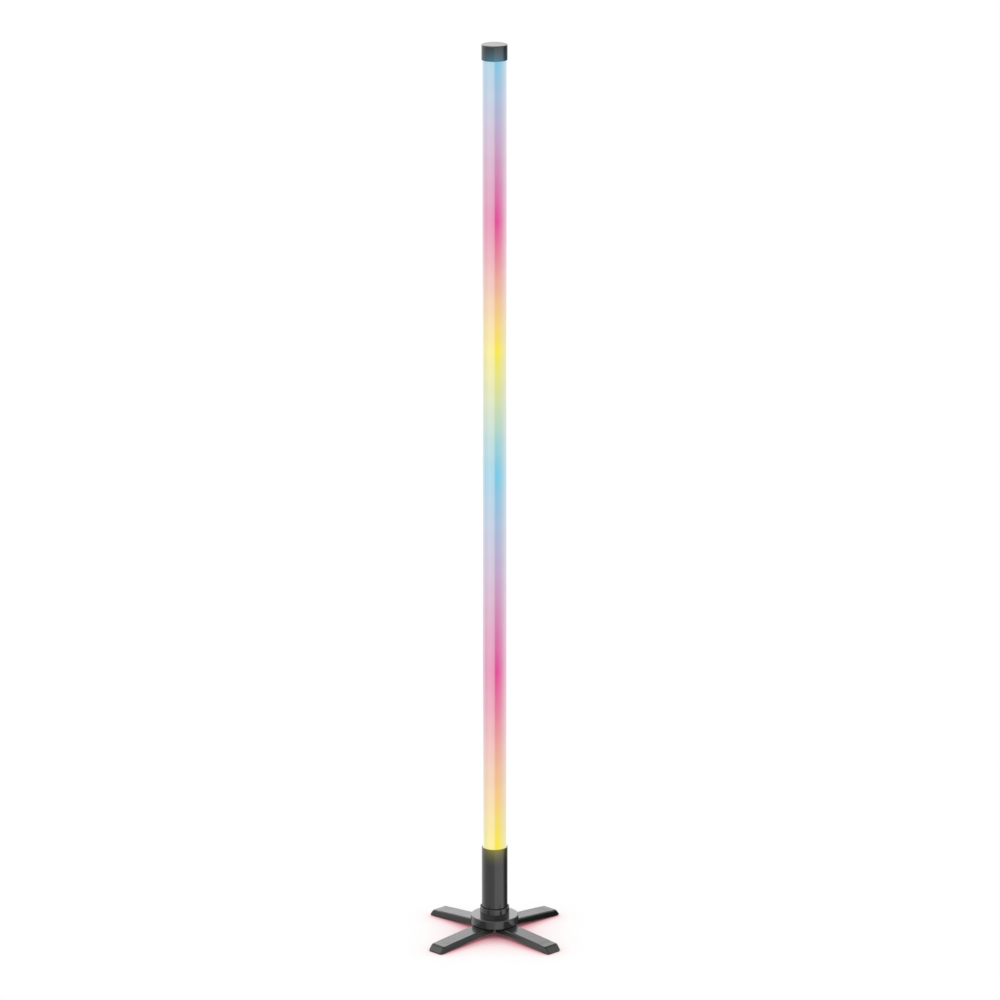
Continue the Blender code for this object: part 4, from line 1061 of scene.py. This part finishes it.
def sole_mesh():
    """The rubber sole: softened edges, a key on top and grooves across its tread."""
    rings = []
    half = LEG_WIDTH / 2 - SOLE_INSET
    for z, inset in ((0, SOLE_EDGE), (SOLE_EDGE * 0.3, SOLE_EDGE * 0.3), (SOLE_EDGE, 0), (SOLE_THICK, 0)):
        outline = rounded_rectangle(SOLE_START + inset, SOLE_END - inset, half - inset, SOLE_CORNER - inset)
        rings.append([(x, y, z) for x, y in outline])
    obj = new_object("sole", loft(rings))
    key = loft([[(x, y, z) for x, y in key_outline(0)] for z in (SOLE_THICK / 2, SOLE_TOP_Z)])
    combine(obj, key, "UNION")
    pitch = SOLE_LENGTH / (TREAD_COUNT + 1)
    grooves = []
    for i in range(1, TREAD_COUNT + 1):
        x = SOLE_START + pitch * i
        low = (x - TREAD_WIDTH / 2, -LEG_WIDTH, -GAP)
        grooves.append(box(low, (x + TREAD_WIDTH / 2, LEG_WIDTH, TREAD_DEPTH)))
    combine(obj, gathered(grooves))
    mesh = obj.data
    bpy.data.objects.remove(obj, do_unlink=True)
    return mesh


def make_legs(leg_material, sole_material):
    blank = new_object("leg", leg_mesh())
    combine(blank, leg_cutters())
    leg, sole = blank.data, sole_mesh()
    bpy.data.objects.remove(blank, do_unlink=True)
    for body, (x, y, _) in PIVOTS.items():
        azimuth = Vector((x, y)).angle_signed(Vector((1, 0)))
        stand = Matrix.Translation((x, y, 0)) @ Matrix.Rotation(azimuth, 4, "Z")
        sole_node = body.replace("leg_", "foot_sole_")
        for node, mesh, material, slot in (
            (body, leg, leg_material, "leg_plastic"),
            (sole_node, sole, sole_material, "black_rubber"),
        ):
            copy = mesh.copy()
            copy.transform(stand)
            obj = bpy.data.objects.new(node, copy)
            bpy.context.scene.collection.objects.link(obj)
            finish_piece(obj, node, material)


# ---- CAD nodes that stay ----------------------------------------------------------------------------
KEPT_NODES = {
    "hub_weight": "weight",
    "pivot_washer": "brass",
    "battery_cell": "cell",
    "battery_cradle": "white",
    "battery_contact": "brass",
    "control_board": "board",
    "usb_socket": "steel",
    "led_lead_front": "red",
    "led_lead_back": "black",
    "bottom_plug": "white",
    "top_plug": "white",
    "led_carrier": "aluminium",
    "led_strip": "strip",
}


def dress_kept_nodes(materials):
    for node, obj in frame["nodes"].items():
        for start, key in KEPT_NODES.items():
            if node.startswith(start):
                for slot in obj.material_slots:
                    slot.material = materials[key]


# ---- Studio -----------------------------------------------------------------------------------------
FLOOR_SIZE = 60
SHADE_REACH = 0.07  # how far from the object the floor darkens
GLOSS_SHADE_POWER = 1.2  # how fast the floor's reflection darkens towards the object
# (openness of the floor to the sky, its glow)
FLOOR_SHADE = (
    (0.0, (0.02, 0.02, 0.02)),
    (0.1, (0.03, 0.03, 0.03)),
    (0.15, (0.36, 0.12, 0.14)),
    (0.25, (0.56, 0.23, 0.27)),
    (0.4, (0.68, 0.38, 0.42)),
    (0.6, (0.79, 0.51, 0.54)),
    (0.7, (0.87, 0.63, 0.66)),
    (0.82, (0.95, 0.81, 0.82)),
    (0.92, (0.975, 0.89, 0.895)),
    (0.97, (0.99, 0.96, 0.96)),
    (1.0, (1.0, 1.0, 1.0)),
)
# (direction from the object in degrees, 0 to the front and 90 to the right; how brightly the floor is lit)
FLOOR_LIGHT = (
    (-180, 1.3),
    (-150, 1.4),
    (-100, 1.3),
    (-75, 1.05),
    (-20, 1.15),
    (-2, 1.35),
    (6, 2.0),
    (70, 2.0),
    (85, 1.0),
    (98, 0.15),
    (130, 0.12),
    (160, 1.0),
)
# (height above the horizon in degrees, brightness)
SKY_LIGHT = ((0, 1.1), (11, 1.22), (14, 2.6), (35, 2.9), (50, 1.0), (90, 1.0))
# (how far to the right a direction points, -1 to 1; brightness)
SKY_FADE = ((-0.12, 1.12), (0.0, 1.0), (0.12, 0.72))
CAMERA_LENS = 203.3
CAMERA_PLACE = (0.0071, -7.09, 2.553)
CAMERA_TILT = 15.42  # degrees below level


def make_floor():
    """A white floor with pink shade round the object, and the uneven light that the object's gloss shows."""
    bm = bmesh.new()
    bmesh.ops.create_grid(bm, x_segments=1, y_segments=1, size=FLOOR_SIZE / 2)
    floor = new_object("studio_floor", bm)
    surface = Surface("studio_floor", 1.0)
    openness = surface.node("ShaderNodeAmbientOcclusion", samples=16)
    openness.inputs["Distance"].default_value = SHADE_REACH
    shade = surface.run(openness.outputs["AO"], FLOOR_SHADE)
    x, y, _ = surface.axes()
    direction = surface.maths("ARCTAN2", x, surface.maths("MULTIPLY", y, -1.0))
    turn = surface.node("ShaderNodeMapRange", direction, -pi, pi, 0.0, 1.0).outputs[0]
    lit = surface.run(turn, [((degrees + 180) / 360, grey(light)) for degrees, light in FLOOR_LIGHT])
    in_gloss = surface.node("ShaderNodeVectorMath", lit, operation="SCALE")
    dimming = surface.maths("POWER", openness.outputs["AO"], GLOSS_SHADE_POWER)
    surface.tree.links.new(dimming, in_gloss.inputs["Scale"])
    seen = surface.node("ShaderNodeLightPath").outputs["Is Camera Ray"]
    glow = surface.node("ShaderNodeEmission", surface.blend(seen, in_gloss.outputs[0], shade))
    surface.tree.links.new(glow.outputs[0], surface.tree.nodes["Material Output"].inputs["Surface"])
    surface.tree.nodes.remove(surface.shader)
    floor.data.materials.append(surface.material)


def make_world():
    """A white studio: brightest in a band well above the horizon, plain overhead, dimmer to the right."""
    world = bpy.data.worlds.new("studio")
    bpy.context.scene.world = world
    world.use_nodes = True
    tree = world.node_tree
    place = tree.nodes.new("ShaderNodeTexCoord").outputs["Generated"]
    parts = tree.nodes.new("ShaderNodeSeparateXYZ")
    tree.links.new(place, parts.inputs[0])
    ramp = tree.nodes.new("ShaderNodeValToRGB")
    tree.links.new(parts.outputs["Z"], ramp.inputs[0])
    fill_ramp(ramp, [(sin(radians(degrees)), grey(light)) for degrees, light in SKY_LIGHT])
    fade = tree.nodes.new("ShaderNodeValToRGB")
    aside = tree.nodes.new("ShaderNodeMapRange")
    aside.inputs["From Min"].default_value = -1
    tree.links.new(parts.outputs["X"], aside.inputs["Value"])
    tree.links.new(aside.outputs[0], fade.inputs[0])
    fill_ramp(fade, [((share + 1) / 2, grey(light)) for share, light in SKY_FADE])
    product = tree.nodes.new("ShaderNodeVectorMath")
    product.operation = "MULTIPLY"
    tree.links.new(ramp.outputs[0], product.inputs[0])
    tree.links.new(fade.outputs[0], product.inputs[1])
    tree.links.new(product.outputs[0], tree.nodes["Background"].inputs["Color"])


def make_camera():
    data = bpy.data.cameras.new("camera")
    data.sensor_width = 36
    data.lens = CAMERA_LENS
    data.clip_end = 200
    camera = bpy.data.objects.new("camera", data)
    camera.location = CAMERA_PLACE
    camera.rotation_euler = (radians(90 - CAMERA_TILT), 0, 0)
    bpy.context.scene.collection.objects.link(camera)
    bpy.context.scene.camera = camera


def main():
    materials = make_materials()
    make_diffuser(materials["diffuser"])
    make_cap(materials["cap"])
    make_handle(materials["handle"])
    make_end_cap(materials["handle"])
    make_buttons(materials["button"])
    make_light_pipe(materials["clear"])
    make_hub(materials["hub"])
    make_liner(materials["rubber"])
    make_plate(materials["black_steel"])
    make_small_screws(materials["steel"])
    make_pivot_screws(materials["steel"])
    make_legs(materials["leg"], materials["rubber"])
    dress_kept_nodes(materials)
    make_floor()
    make_world()
    make_camera()
    bpy.context.scene.view_settings.view_transform = "Standard"


main()
